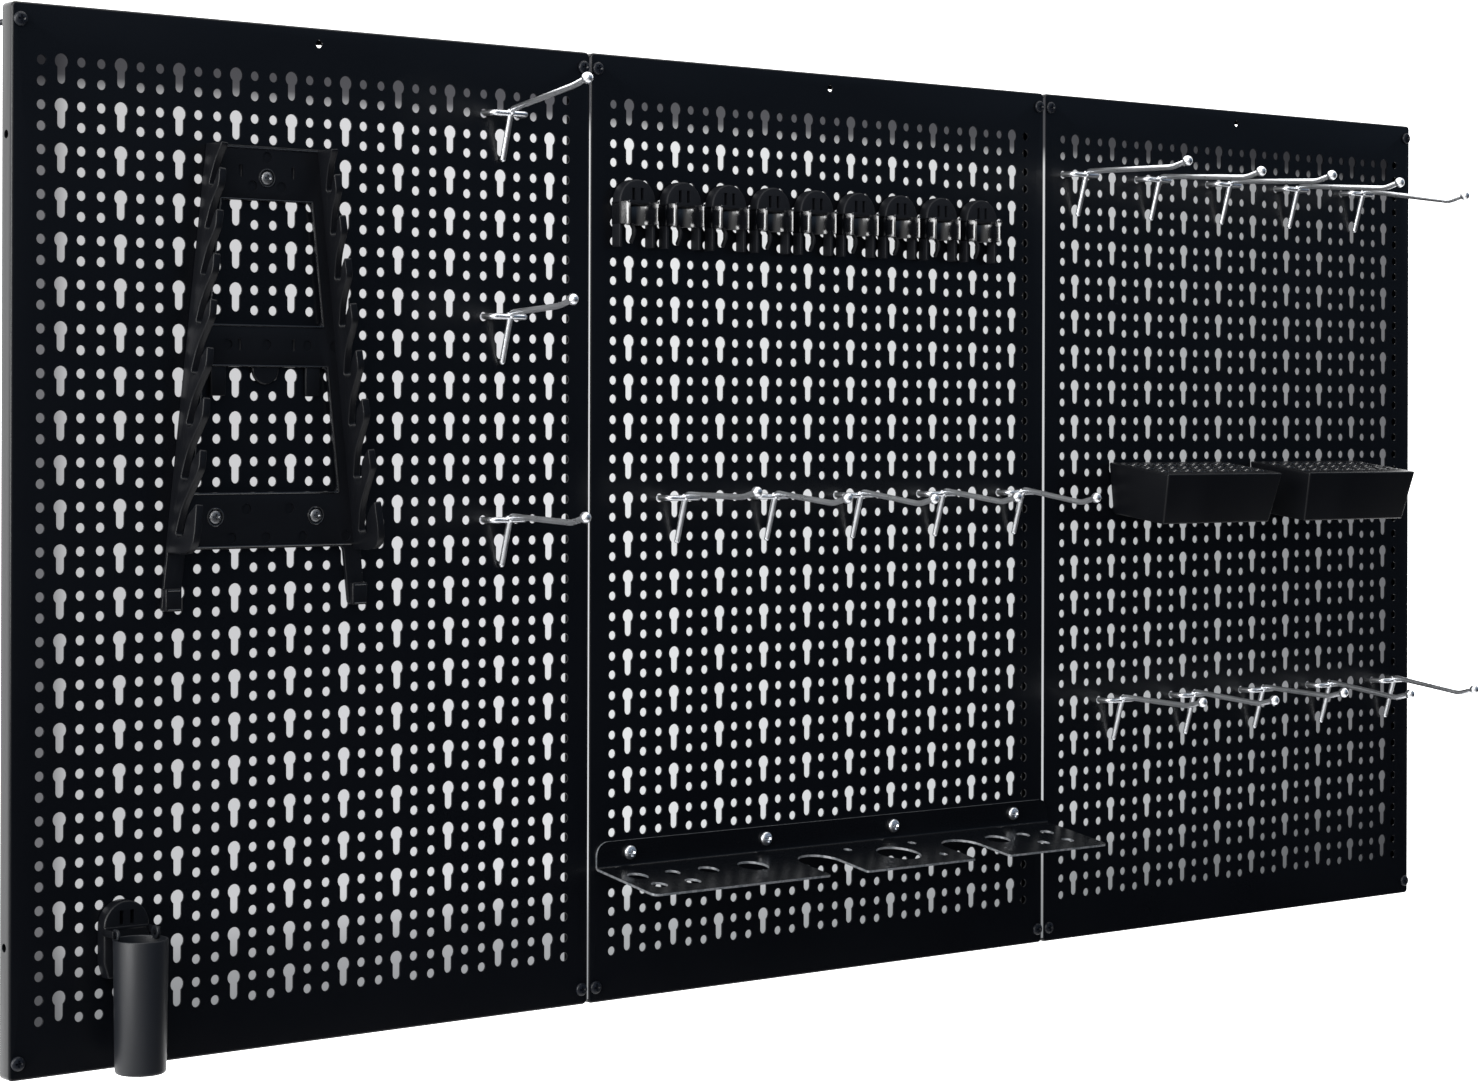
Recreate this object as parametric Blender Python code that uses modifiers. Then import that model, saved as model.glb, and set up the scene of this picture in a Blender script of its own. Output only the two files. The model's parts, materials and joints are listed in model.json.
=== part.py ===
"""Pegboard tool wall: three steel pegboard panels side by side, with what hangs on them.

Wire hooks, spring clips, a pen cup, two bit holders, a wrench rack and a bit shelf are separate
pieces on the panels' hole grid. Metres, +Z up, +X to the right as seen from the front, +Y into
the wall. The origin is on the back plane, in the middle of the centre panel's upper return lip.

The panels carry only the holes that a piece uses. The free holes of the grid are left out here.
"""
import math

import bmesh
import bpy
from mathutils import Matrix, Vector

# Panels
PANEL_PITCH = 0.4064
PANEL_GAP = 0.0010
PANEL_HEIGHT = 0.6096
PANEL_DEPTH = 0.0127
SHEET = 0.0012
LIP = 0.0090
PANEL_WIDTH = PANEL_PITCH - PANEL_GAP
PANEL_NAMES = ("panel_left", "panel_centre", "panel_right")
JOIN_HOLE_INSET = 0.075
JOIN_HOLE_RADIUS = 0.0025
TOP_HOLE_INSET = 0.0098
TOP_HOLE_RADIUS = 0.0024

# Hole grid: columns are one pitch apart, rows come in pairs, and every third column is keyholes
COLUMN_PITCH = 0.0127
PAIR_PITCH = 0.0254
PAIR_GAP = 0.0120
COLUMNS = 30
ROW_PAIRS = 22
ROUND_RADIUS = 0.0029
KEY_HEAD_RADIUS = 0.0044
KEY_SLOT_WIDTH = 0.0054
KEY_DROP = 0.0103

# Places and clearances
BOARD_TOP = LIP / 2
FACE = -PANEL_DEPTH
SHEET_MIDDLE = FACE + SHEET / 2
GAP = 0.0003
OVERCUT = 0.0020
LAP = 0.0010
INSET = 0.0002
WELD = 0.000005

# Screws
WALL_SCREW_SIDE_INSET = 0.0052
WALL_SCREW_END_INSET = 0.0100
WALL_SCREW_HEAD_RADIUS = 0.0042
WALL_SCREW_SHANK_RADIUS = 0.0019
WALL_SCREW_LENGTH = 0.0360
WALL_SCREW_HEAD_HEIGHT = 0.0024
RACK_SCREW_HEAD_RADIUS = 0.0040
RACK_SCREW_SHANK_RADIUS = 0.0017
RACK_SCREW_LENGTH = 0.0095
RACK_SCREW_HEAD_HEIGHT = 0.0022
SHELF_SCREW_HEAD_RADIUS = 0.0046
SHELF_SCREW_SHANK_RADIUS = 0.0022
SHELF_SCREW_LENGTH = 0.0100
SHELF_SCREW_HEAD_HEIGHT = 0.0030
SHELF_NUT_FLANGE = (0.0075, 0.0010)
SHELF_NUT_HEX = (0.0042, 0.0030)
SCREW_SIDES = 8

# Hooks: panel, keyhole columns, row, reach of the ball's centre from the panel, rise of each arm
HOOK_WIRE_RADIUS = 0.0019
HOOK_BALL_RADIUS = 0.0036
HOOK_HALF_SPAN = COLUMN_PITCH
HOOK_CROSSBAR_REACH = 0.0105
HOOK_STUB_DEPTH = 0.0046
HOOK_STUB_RISE = 0.0068
HOOK_ARM_OFFSET = 0.0024
HOOK_ARM_START = 0.0115
HOOK_LEG_DROP = 0.0295
HOOK_TIP_LENGTH = 0.0140
HOOK_TIP_RISE = 0.0036
HOOK_BEND = 0.0026
HOOK_SETS = (
    ("hook_left_a", 0, (25,), 1, 0.0908, (8.6,)),
    ("hook_left_b", 0, (25,), 11, 0.0766, (3.4,)),
    ("hook_left_c", 0, (25,), 21, 0.0901, (-2.3,)),
    ("hook_centre", 1, (4, 10, 16, 22, 28), 20, 0.0841, (-0.8, -5.6, -7.0, -6.7, -8.1)),
    ("hook_right_top", 2, (1, 7, 13, 19, 25), 2, 0.1098, (-1.2, -3.6, -3.0, -4.1, -8.4)),
    ("hook_right_low", 2, (4, 10, 16, 22, 28), 32, 0.0897, (-2.1, -4.3, -2.8, -7.1, -7.3)),
)

# Studs of the plastic holders: a neck that rides in the keyhole's slot and a button behind it
STUD_NECK_RADIUS = KEY_SLOT_WIDTH / 2 - GAP
STUD_BUTTON_RADIUS = KEY_HEAD_RADIUS - GAP
STUD_BUTTON_DEPTH = 0.0022
STUD_ROOT = 0.0020
STUD_NECK_BITE = 0.0005

# Spring clips and the cup's hanger share their arched base
BASE_HALF_WIDTH = 0.0145
BASE_DEPTH = 0.0090
BASE_ABOVE_HEAD = 0.0026
BASE_SLOT = (0.0026, 0.0052, 0.0080)
BASE_SLOT_SPACING = 0.0034
BASE_SLOT_RISE = 0.0010
CLIP_COLUMNS = (1, 4, 7, 10, 13, 16, 19, 22, 25)
CLIP_ROW = 4
CLIP_BAND_HEIGHT = 0.0148
CLIP_REACH = 0.0152
CLIP_THROAT_RADIUS = 0.0096
CLIP_BACK = 0.0026
CLIP_SKIRT_DROP = 0.0145
CLIP_SKIRT_WALL = 0.0022
CLIP_PROP_RADIUS = 0.0014
CLIP_PROP_BITE = 0.0006
CLIP_PROP_KNEE = (0.0030, 0.0040)
CLIP_PROP_DROP = 0.0105
CLIP_LIP = 0.0006
CLIP_LIP_FLAT = 0.0010
CLIP_CHAMFER = (0.0022, 0.0062, 0.0010)
CLIP_SKIRT_RECESS = 0.0005

# Cup and its hanger
CUP_COLUMN = 4
CUP_ROW = 38
CUP_RIM_RADIUS = 0.01575
CUP_FOOT_RADIUS = 0.01460
CUP_WALL = 0.0015
CUP_FLOOR = 0.0020
CUP_HEIGHT = 0.0765
CUP_BELOW_BASE_TOP = 0.0200
HANGER_HEIGHT = 0.0440
HANGER_ARM = 0.0016
HANGER_ARM_DROP = 0.0040
CUP_PIVOT_REACH = 0.0196
CUP_PIVOT_RISE = 0.0019
CUP_PEG_RADIUS = 0.0014
CUP_LUG_RADIUS = 0.0040
CUP_LUG_WIDTH = 0.0018
CUP_LUG_PROUD = 0.0006
CUP_FOOT_CHAMFER = 0.0010
CUP_PEG_PROUD = 0.0005
HANGER_ARM_RISE = 0.0009
HANGER_ARM_BITE = 0.0005
HANGER_FOOT_TAPER = 0.0028

# Bit holders
HOLDER_COLUMNS = ((7, 10), (19, 22))
HOLDER_ROW = 18
HOLDER_WIDTH = 0.1215
HOLDER_DEPTH = 0.0600
HOLDER_HEIGHT = 0.0376
HOLDER_SIDE_TAPER = 0.0043
HOLDER_FRONT_TAPER = 0.0095
HOLDER_SLOPE = math.radians(7.6)
HOLDER_WALL = 0.0020
HOLDER_TOP_BELOW_HEAD = 0.0046
HOLDER_HOLE_RADIUS = 0.0036
HOLDER_HOLE_COLUMNS = 9
HOLDER_HOLE_ROWS = 3
HOLDER_HOLE_PITCH = (0.0127, 0.0146)
HOLDER_BACK_BAR = 0.0120

# Wrench rack
RACK_CENTRE_COLUMN = 11.5
RACK_TOP_BELOW = 0.0738
RACK_HEIGHT = 0.2740
RACK_TOP_HALF = 0.0399
RACK_FOOT_HALF = 0.0701
RACK_PLATE = 0.0030
RACK_RAIL = 0.0120
RACK_BARS = ((0.0, 0.0320), (0.1065, 0.1302), (0.2060, 0.2385))
RACK_CORNER = 0.0050
RACK_FIN = 0.0048
RACK_FIN_LENGTH = 0.2414
RACK_FIN_TOP_DEPTH = 0.0181
RACK_FIN_FOOT_DEPTH = 0.0323
RACK_SLOTS = 8
RACK_FIRST_SLOT = 0.0267
RACK_SLOT_STEP = 0.0259
RACK_SLOT_GROWTH = 0.00115
RACK_SLOT_REAR = (0.0080, 0.00025)
RACK_SLOT_WIDTH = (0.0054, 0.0005)
RACK_SLOT_BEND = (0.0042, 0.0160, 0.0003)
RACK_SLOT_FLOOR = (0.0030, 0.0032, 0.0021)
RACK_TOOTH_RISE = (0.0118, 0.0012)
RACK_TOOTH_KNEE = (0.0020, 0.62)
RACK_TOOTH_FLAT = 0.0010
RACK_MOUTH = (0.0135, 0.0010)
RACK_FOOT_BLOCK = (0.0135, 0.0065)
RACK_TAB = (0.0100, 0.0180)
RACK_TAB_SPACING = 0.0325
RACK_BOSS_RADIUS = 0.0090
RACK_SCREW_TOP = (0.0, 0.0188)
RACK_SCREW_LOW = (0.0345, 0.2195)
RACK_COUNTERBORE = (0.0046, 0.0012)
RACK_FIN_BEND = 0.0130
RACK_FOOT_TRIM = (0.0010, 0.0015)
RACK_TAB_THINNER = 0.0004
RACK_BOSS_THINNER = 0.0003
RACK_BOSS_DROP = 0.0020

# Shelf: a folded strip, its flange on the board and its plate sloping down and out
SHELF_LEFT = -0.1975
SHELF_RIGHT = 0.2065
SHELF_THICKNESS = 0.0015
SHELF_FLANGE = 0.0175
SHELF_FLANGE_CORNER = 0.0090
SHELF_CORNER = 0.0040
SHELF_DEPTH = 0.0618
SHELF_SLOPE = math.radians(9.2)
SHELF_ROOT = 0.0002
SHELF_SCREW_COLUMNS = (1, 10, 19, 28)
SHELF_SCREW_ROW = 38
SHELF_SCREW_BELOW_TOP = 0.0080
SHELF_MOUTH_RADIUS = 0.0160
SHELF_MOUTHS = (-0.0350, 0.0950)
SHELF_MOUTH_REACH = 0.0330
SHELF_MOUTH_CHAMFER = (0.0015, 0.0030)
SHELF_HOLES = (
    (-0.1815, 0.0230, 0.0070),
    (-0.1530, 0.0230, 0.0050),
    (-0.1250, 0.0250, 0.0070),
    (-0.0890, 0.0270, 0.0105),
    (0.0340, 0.0330, 0.0155),
    (0.1330, 0.0260, 0.0090),
    (0.1605, 0.0230, 0.0050),
    (0.1840, 0.0230, 0.0050),
    (-0.1800, 0.0440, 0.0055),
    (-0.1530, 0.0440, 0.0055),
    (0.1605, 0.0440, 0.0045),
    (0.1840, 0.0440, 0.0045),
    (0.0035, 0.0150, 0.0030),
    (0.0620, 0.0150, 0.0030),
    (0.0640, 0.0450, 0.0030),
)


# ---- Hole grid ----------------------------------------------------------------------------------

def panel_centre(panel):
    return (panel - 1) * PANEL_PITCH


def column_x(panel, column):
    return panel_centre(panel) + (column - (COLUMNS - 1) / 2) * COLUMN_PITCH


def row_z(row):
    pattern = (ROW_PAIRS - 1) * PAIR_PITCH + PAIR_GAP
    first = BOARD_TOP - (PANEL_HEIGHT - pattern) / 2
    return first - (row // 2) * PAIR_PITCH - (row % 2) * PAIR_GAP


def stud_z(row):
    return row_z(row) - KEY_DROP


# ---- Small modelling tools ----------------------------------------------------------------------

def clear_scene():
    for obj in list(bpy.data.objects):
        bpy.data.objects.remove(obj, do_unlink=True)


def new_collection(name):
    collection = bpy.data.collections.new(name)
    bpy.context.scene.collection.children.link(collection)
    return collection


def new_material(name, colour, roughness, metallic):
    material = bpy.data.materials.new(name)
    material.use_nodes = True
    shader = material.node_tree.nodes["Principled BSDF"]
    shader.inputs["Base Color"].default_value = (*colour, 1.0)
    shader.inputs["Roughness"].default_value = roughness
    shader.inputs["Metallic"].default_value = metallic
    return material


def finish_mesh(bm, name):
    """Weld a bmesh, point its faces outward and return it as a mesh."""
    bmesh.ops.remove_doubles(bm, verts=bm.verts, dist=WELD)
    bmesh.ops.recalc_face_normals(bm, faces=bm.faces)
    mesh = bpy.data.meshes.new(name)
    bm.to_mesh(mesh)
    bm.free()
    return mesh


def loose_object(mesh):
    obj = bpy.data.objects.new(mesh.name, mesh)
    bpy.context.scene.collection.objects.link(obj)
    return obj


def box(low, high):
    low, high = Vector(low), Vector(high)
    bm = bmesh.new()
    place = Matrix.Translation((low + high) / 2) @ Matrix.Diagonal((*(high - low), 1.0))
    bmesh.ops.create_cube(bm, size=1.0, matrix=place)
    return loose_object(finish_mesh(bm, "box"))


def add_rod(bm, start, end, radius, sides):
    start, end = Vector(start), Vector(end)
    turn = (end - start).to_track_quat("Z", "Y").to_matrix().to_4x4()
    place = Matrix.Translation((start + end) / 2) @ turn
    bmesh.ops.create_cone(bm, cap_ends=True, segments=sides, radius1=radius, radius2=radius,
                          depth=(end - start).length, matrix=place)


def rod(start, end, radius, sides=SCREW_SIDES):
    bm = bmesh.new()
    add_rod(bm, start, end, radius, sides)
    return loose_object(finish_mesh(bm, "rod"))


def ball(centre, radius, segments=8, rings=4):
    bm = bmesh.new()
    bmesh.ops.create_uvsphere(bm, u_segments=segments, v_segments=rings, radius=radius,
                              matrix=Matrix.Translation(centre))
    return loose_object(finish_mesh(bm, "ball"))


def evaluated_mesh(obj):
    graph = bpy.context.evaluated_depsgraph_get()
    return bpy.data.meshes.new_from_object(obj.evaluated_get(graph))


def curve_to_object(curve, place=Matrix.Identity(4)):
    """Turn a curve into a closed mesh object, its caps welded to its sides."""
    obj = bpy.data.objects.new(curve.name, curve)
    bpy.context.scene.collection.objects.link(obj)
    mesh = evaluated_mesh(obj)
    bpy.data.objects.remove(obj, do_unlink=True)
    bm = bmesh.new()
    bm.from_mesh(mesh)
    bmesh.ops.transform(bm, matrix=place, verts=bm.verts)
    return loose_object(finish_mesh(bm, curve.name))


def add_spline(curve, points, cyclic):
    spline = curve.splines.new("POLY")
    spline.points.add(len(points) - 1)
    for target, point in zip(spline.points, points):
        target.co = (*point, *([0.0] * (3 - len(point))), 1.0)
    spline.use_cyclic_u = cyclic


def wire(points, radius, resolution=1):
    curve = bpy.data.curves.new("wire", "CURVE")
    curve.dimensions = "3D"
    curve.bevel_depth = radius
    curve.bevel_resolution = resolution
    curve.use_fill_caps = True
    add_spline(curve, points, False)
    return curve_to_object(curve)


def plate(outline, thickness, place, holes=()):
    """A flat piece from an outline in its own XY plane, with its holes as inner outlines."""
    curve = bpy.data.curves.new("plate", "CURVE")
    curve.dimensions = "2D"
    curve.fill_mode = "BOTH"
    curve.extrude = thickness / 2
    for points in (outline, *holes):
        add_spline(curve, points, True)
    return curve_to_object(curve, place)


def turned(profile, sides, place):
    """A solid of revolution: the profile runs down its outer side, from the axis to the axis."""
    mesh = bpy.data.meshes.new("turned")
    points = [(radius, 0.0, height) for radius, height in profile]
    mesh.from_pydata(points, [(i, i + 1) for i in range(len(points) - 1)], [])
    obj = loose_object(mesh)
    screw = obj.modifiers.new("Screw", "SCREW")
    screw.steps = sides
    screw.render_steps = sides
    screw.use_merge_vertices = True
    screw.merge_threshold = 0.00001
    result = evaluated_mesh(obj)
    bpy.data.objects.remove(obj, do_unlink=True)
    bm = bmesh.new()
    bm.from_mesh(result)
    bmesh.ops.transform(bm, matrix=place, verts=bm.verts)
    return loose_object(finish_mesh(bm, "turned"))


def is_closed(mesh):
    bm = bmesh.new()
    bm.from_mesh(mesh)
    closed = bool(bm.faces) and all(len(edge.link_faces) == 2 for edge in bm.edges)
    bm.free()
    return closed


def combine(base, tool, operation):
    """Apply one Boolean to base and remove the tool; the second solver is for what the first leaves open."""
    step = base.modifiers.new("Boolean", "BOOLEAN")
    step.operation = operation
    step.object = tool
    for step.solver in ("EXACT", "MANIFOLD"):
        mesh = evaluated_mesh(base)
        if is_closed(mesh):
            break
    base.modifiers.clear()
    base.data = mesh
    bpy.data.objects.remove(tool, do_unlink=True)
    return base


def join(base, *tools):
    for tool in tools:
        combine(base, tool, "UNION")
    return base


def cut(base, *tools):
    for tool in tools:
        combine(base, tool, "DIFFERENCE")
    return base


def arc(centre, radius, start, end, steps):
    """Points along an arc, in degrees."""
    angles = [math.radians(start + (end - start) * i / steps) for i in range(steps + 1)]
    return [(centre[0] + radius * math.cos(a), centre[1] + radius * math.sin(a)) for a in angles]


def circle(centre, radius, sides):
    return arc(centre, radius, 0, 360, sides)[:-1]


def eased(points, radius):
    """Replace each inner corner of a path by two points, one either side of it."""
    path = [Vector(points[0])]
    for before, corner, after in zip(points, points[1:], points[2:]):
        corner = Vector(corner)
        for neighbour in (Vector(before), Vector(after)):
            way = neighbour - corner
            path.append(corner + way * min(0.45, radius / way.length))
    path.append(Vector(points[-1]))
    return path


def shade(mesh):
    mesh.shade_smooth()
    mesh.set_sharp_from_angle(angle=math.radians(35))


def place_part(obj, name, material, location=(0, 0, 0)):
    """Name a finished piece, give it its finish and move it to the parts collection."""
    obj.name = name
    obj.data.name = name
    obj.data.materials.clear()
    obj.data.materials.append(material)
    shade(obj.data)
    obj.location = location
    for collection in list(obj.users_collection):
        collection.objects.unlink(obj)
    PARTS.objects.link(obj)
    return obj


def copy_part(source, name, location):
    obj = bpy.data.objects.new(name, source.data)
    obj.location = location
    PARTS.objects.link(obj)
    return obj


# ---- Panels -------------------------------------------------------------------------------------

def hook_places():
    """Name, panel, column, row, reach and rise of every hook."""
    places = []
    for name, panel, columns, row, reach, rises in HOOK_SETS:
        for number, (column, rise) in enumerate(zip(columns, rises), 1):
            full = f"{name}_{number}" if len(columns) > 1 else name
            places.append((full, panel, column, row, reach, rise))
    return places


def keyhole_places():
    """Panel, column and row of every keyhole that a holder or a shelf screw uses."""
    places = [(1, column, CLIP_ROW) for column in CLIP_COLUMNS]
    places += [(0, CUP_COLUMN, CUP_ROW)]
    places += [(2, column, HOLDER_ROW) for pair in HOLDER_COLUMNS for column in pair]
    places += [(1, column, SHELF_SCREW_ROW) for column in SHELF_SCREW_COLUMNS]
    return places


def rack_centre():
    return column_x(0, RACK_CENTRE_COLUMN), BOARD_TOP - RACK_TOP_BELOW


def rack_screw_places():
    x, z = rack_centre()
    low_x, low_z = RACK_SCREW_LOW
    return ((x, z - RACK_SCREW_TOP[1]), (x - low_x, z - low_z), (x + low_x, z - low_z))


def wall_screw_places(panel):
    across = PANEL_WIDTH / 2 - WALL_SCREW_SIDE_INSET
    high = BOARD_TOP - WALL_SCREW_END_INSET
    low = BOARD_TOP - PANEL_HEIGHT + WALL_SCREW_END_INSET
    centre = panel_centre(panel)
    return [(centre + side * across, z) for z in (high, low) for side in (-1, 1)]


def panel_cutters(panel):
    """One mesh with every round cut of a panel."""
    bm = bmesh.new()
    through = (FACE - OVERCUT, FACE + SHEET + OVERCUT)
    for _, at, column, row, _, _ in hook_places():
        for side in (-1, 1):
            if at == panel:
                x = column_x(panel, column + side)
                add_rod(bm, (x, through[0], row_z(row)), (x, through[1], row_z(row)), ROUND_RADIUS, 8)
    for x, z in wall_screw_places(panel):
        add_rod(bm, (x, FACE - OVERCUT, z), (x, OVERCUT, z), WALL_SCREW_SHANK_RADIUS + GAP, SCREW_SIDES)
    if panel == 0:
        for x, z in rack_screw_places():
            add_rod(bm, (x, through[0], z), (x, through[1], z), RACK_SCREW_SHANK_RADIUS + GAP, SCREW_SIDES)
    x, z = panel_centre(panel), BOARD_TOP - TOP_HOLE_INSET
    add_rod(bm, (x, through[0], z), (x, through[1], z), TOP_HOLE_RADIUS, 8)
    middle = FACE / 2
    for z in (BOARD_TOP - JOIN_HOLE_INSET, BOARD_TOP - PANEL_HEIGHT + JOIN_HOLE_INSET):
        for side in (-1, 1):
            edge = panel_centre(panel) + side * PANEL_WIDTH / 2
            add_rod(bm, (edge - OVERCUT, middle, z), (edge + OVERCUT, middle, z), JOIN_HOLE_RADIUS, 8)
    return loose_object(finish_mesh(bm, "cutters"))


def keyhole_cutter(panel, column, row):
    """A head, and a slot below it with a round end."""
    head, half = KEY_HEAD_RADIUS, KEY_SLOT_WIDTH / 2
    spread = math.degrees(math.asin(half / head))
    outline = arc((0, 0), head, -90 + spread, 270 - spread, 9)
    outline += arc((0, -KEY_DROP), half, 180, 360, 4)
    place = Matrix.Translation((column_x(panel, column), SHEET_MIDDLE, row_z(row)))
    return plate(outline, SHEET + 2 * OVERCUT, place @ Matrix.Rotation(math.radians(90), 4, "X"))


def build_panel(panel, name, material):
    """A folded tray: front sheet, four flanges and a return lip all round the back."""
    x = panel_centre(panel)
    half = PANEL_WIDTH / 2
    low, high = BOARD_TOP - PANEL_HEIGHT, BOARD_TOP
    tray = box((x - half, FACE, low), (x + half, 0, high))
    inside = box((x - half + SHEET, FACE + SHEET, low + SHEET), (x + half - SHEET, -SHEET, high - SHEET))
    window = box((x - half + LIP, FACE + SHEET, low + LIP), (x + half - LIP, OVERCUT, high - LIP))
    join(inside, window)
    cut(tray, inside, panel_cutters(panel))
    for at, column, row in keyhole_places():
        if at == panel:
            cut(tray, keyhole_cutter(panel, column, row))
    return place_part(tray, name, material)


# ---- Screws -------------------------------------------------------------------------------------

def screw_mesh(head_radius, shank_radius, length, head_height):
    """A pan-head screw along +Y, its head's seat at the origin."""
    profile = (
        (0.0, head_height),
        (head_radius * 0.60, head_height),
        (head_radius, head_height * 0.45),
        (head_radius, 0.0),
        (shank_radius, 0.0),
        (shank_radius, -length),
        (0.0, -length),
    )
    return turned(profile, SCREW_SIDES, Matrix.Rotation(math.radians(90), 4, "X"))


def build_wall_screws(material):
    seat = FACE - GAP
    source = screw_mesh(WALL_SCREW_HEAD_RADIUS, WALL_SCREW_SHANK_RADIUS, WALL_SCREW_LENGTH,
                        WALL_SCREW_HEAD_HEIGHT)
    corners = ("top_left", "top_right", "low_left", "low_right")
    for panel, side in enumerate(("left", "centre", "right")):
        for (x, z), corner in zip(wall_screw_places(panel), corners):
            copy_part(source, f"wall_screw_{side}_{corner}", (x, seat, z))
    source.data.materials.append(material)
    shade(source.data)
    bpy.data.objects.remove(source, do_unlink=True)


def build_rack_screws(material):
    source = screw_mesh(RACK_SCREW_HEAD_RADIUS, RACK_SCREW_SHANK_RADIUS, RACK_SCREW_LENGTH,
                        RACK_SCREW_HEAD_HEIGHT)
    seat = FACE - GAP - RACK_PLATE + RACK_COUNTERBORE[1] - GAP
    names = ("rack_screw_top", "rack_screw_low_left", "rack_screw_low_right")
    for name, (x, z) in zip(names, rack_screw_places()):
        copy_part(source, name, (x, seat, z))
    source.data.materials.append(material)
    shade(source.data)
    bpy.data.objects.remove(source, do_unlink=True)


def build_shelf_screws(material):
    source = screw_mesh(SHELF_SCREW_HEAD_RADIUS, SHELF_SCREW_SHANK_RADIUS, SHELF_SCREW_LENGTH,
                        SHELF_SCREW_HEAD_HEIGHT)
    seat = FACE - GAP - SHELF_THICKNESS - GAP
    for number, column in enumerate(SHELF_SCREW_COLUMNS, 1):
        place = (column_x(1, column), seat, row_z(SHELF_SCREW_ROW))
        copy_part(source, f"shelf_screw_{number}", place)
    source.data.materials.append(material)
    shade(source.data)
    bpy.data.objects.remove(source, do_unlink=True)


def build_shelf_nuts(material):
    """Flanged nuts behind the sheet, wide enough to bridge the keyholes."""
    flange_radius, flange_height = SHELF_NUT_FLANGE
    hex_radius, hex_height = SHELF_NUT_HEX
    seat = FACE + SHEET + GAP
    nut = rod((0, seat, 0), (0, seat + flange_height, 0), flange_radius, 12)
    join(nut, rod((0, seat + flange_height / 2, 0), (0, seat + hex_height, 0), hex_radius, 6))
    bore = SHELF_SCREW_SHANK_RADIUS + GAP
    cut(nut, rod((0, seat - OVERCUT, 0), (0, seat + hex_height + OVERCUT, 0), bore, SCREW_SIDES))
    for number, column in enumerate(SHELF_SCREW_COLUMNS, 1):
        place = (column_x(1, column), 0, row_z(SHELF_SCREW_ROW))
        copy_part(nut, f"shelf_nut_{number}", place)
    nut.data.materials.append(material)
    shade(nut.data)
    bpy.data.objects.remove(nut, do_unlink=True)


# ---- Hooks --------------------------------------------------------------------------------------

def hook_mesh(reach, rise):
    """A hook about its tilt axis: the line through both prong holes, in the sheet's middle."""
    face = SHEET / 2
    span, cross = HOOK_HALF_SPAN, -(face + HOOK_CROSSBAR_REACH)
    back, top = face + HOOK_STUB_DEPTH, HOOK_STUB_RISE
    fork = [(-span, back, top), (-span, back, 0), (-span, cross, 0),
            (span, cross, 0), (span, back, 0), (span, back, top)]
    rear = -(face + HOOK_ARM_START)
    bend_y = -(face + reach - HOOK_TIP_LENGTH)
    bend_z = HOOK_ARM_OFFSET + math.tan(math.radians(rise)) * (rear - bend_y)
    tip = (0, -(face + reach), bend_z + HOOK_TIP_RISE)
    foot = (0, -(face + GAP + HOOK_WIRE_RADIUS), -HOOK_LEG_DROP)
    arm = [tip, (0, bend_y, bend_z), (0, rear, HOOK_ARM_OFFSET), foot]
    hook = wire(fork, HOOK_WIRE_RADIUS)
    return join(hook, wire(eased(arm, HOOK_BEND), HOOK_WIRE_RADIUS), ball(tip, HOOK_BALL_RADIUS))


def build_hooks(material):
    for name, panel, column, row, reach, rise in hook_places():
        place = (column_x(panel, column), SHEET_MIDDLE, row_z(row))
        place_part(hook_mesh(reach, rise), name, material, place)


# ---- Plastic holders: shared base and stud ------------------------------------------------------

def stud(x, z):
    """Neck and button of a holder's stud, from its back face to behind the sheet."""
    neck_end = FACE + SHEET + GAP + STUD_NECK_BITE
    neck = rod((x, FACE - STUD_ROOT, z), (x, neck_end, z), STUD_NECK_RADIUS, 6)
    start = FACE + SHEET + GAP
    return join(neck, rod((x, start, z), (x, start + STUD_BUTTON_DEPTH, z), STUD_BUTTON_RADIUS, 8))


def arched_base(x, head_z, bottom_z, half=BASE_HALF_WIDTH, foot_taper=0.0):
    """A block with a round top, its back just off the panel, and two recesses in its face."""
    foot_half = half - foot_taper
    centre_z = head_z + BASE_ABOVE_HEAD - half
    outline = arc((0, centre_z), half, 0, 180, 10)
    outline += [(-half, bottom_z + 0.3 * (centre_z - bottom_z)), (-foot_half, bottom_z)]
    outline += [(foot_half, bottom_z), (half, bottom_z + 0.3 * (centre_z - bottom_z))]
    middle = FACE - GAP - BASE_DEPTH / 2
    place = Matrix.Translation((x, middle, 0)) @ Matrix.Rotation(math.radians(90), 4, "X")
    block = plate(outline, BASE_DEPTH, place)
    width, depth, height = BASE_SLOT
    front = FACE - GAP - BASE_DEPTH
    for side in (-1, 1):
        mid = x + side * BASE_SLOT_SPACING
        low = (mid - width / 2, front - OVERCUT, centre_z + BASE_SLOT_RISE)
        high = (mid + width / 2, front + depth, centre_z + BASE_SLOT_RISE + height)
        cut(block, box(low, high))
    return block


# ---- Spring clips -------------------------------------------------------------------------------

def jaw_outline():
    """Plan of the jaws: straight sides that turn in to two lips round an open throat."""
    half = BASE_HALF_WIDTH
    back = -GAP
    centre = -(GAP + CLIP_BACK + CLIP_THROAT_RADIUS)
    front = -(GAP + CLIP_REACH)
    throat = arc((0, centre), CLIP_THROAT_RADIUS, 180, 0, 8)
    lip = CLIP_THROAT_RADIUS + CLIP_LIP + CLIP_LIP_FLAT
    inward, start, end = CLIP_CHAMFER
    left = [(-half, back), (-half, front + start), (-half + inward, front + end), (-lip, front)]
    right = [(lip, front), (half - inward, front + end), (half, front + start), (half, back)]
    return left + throat + right


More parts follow.
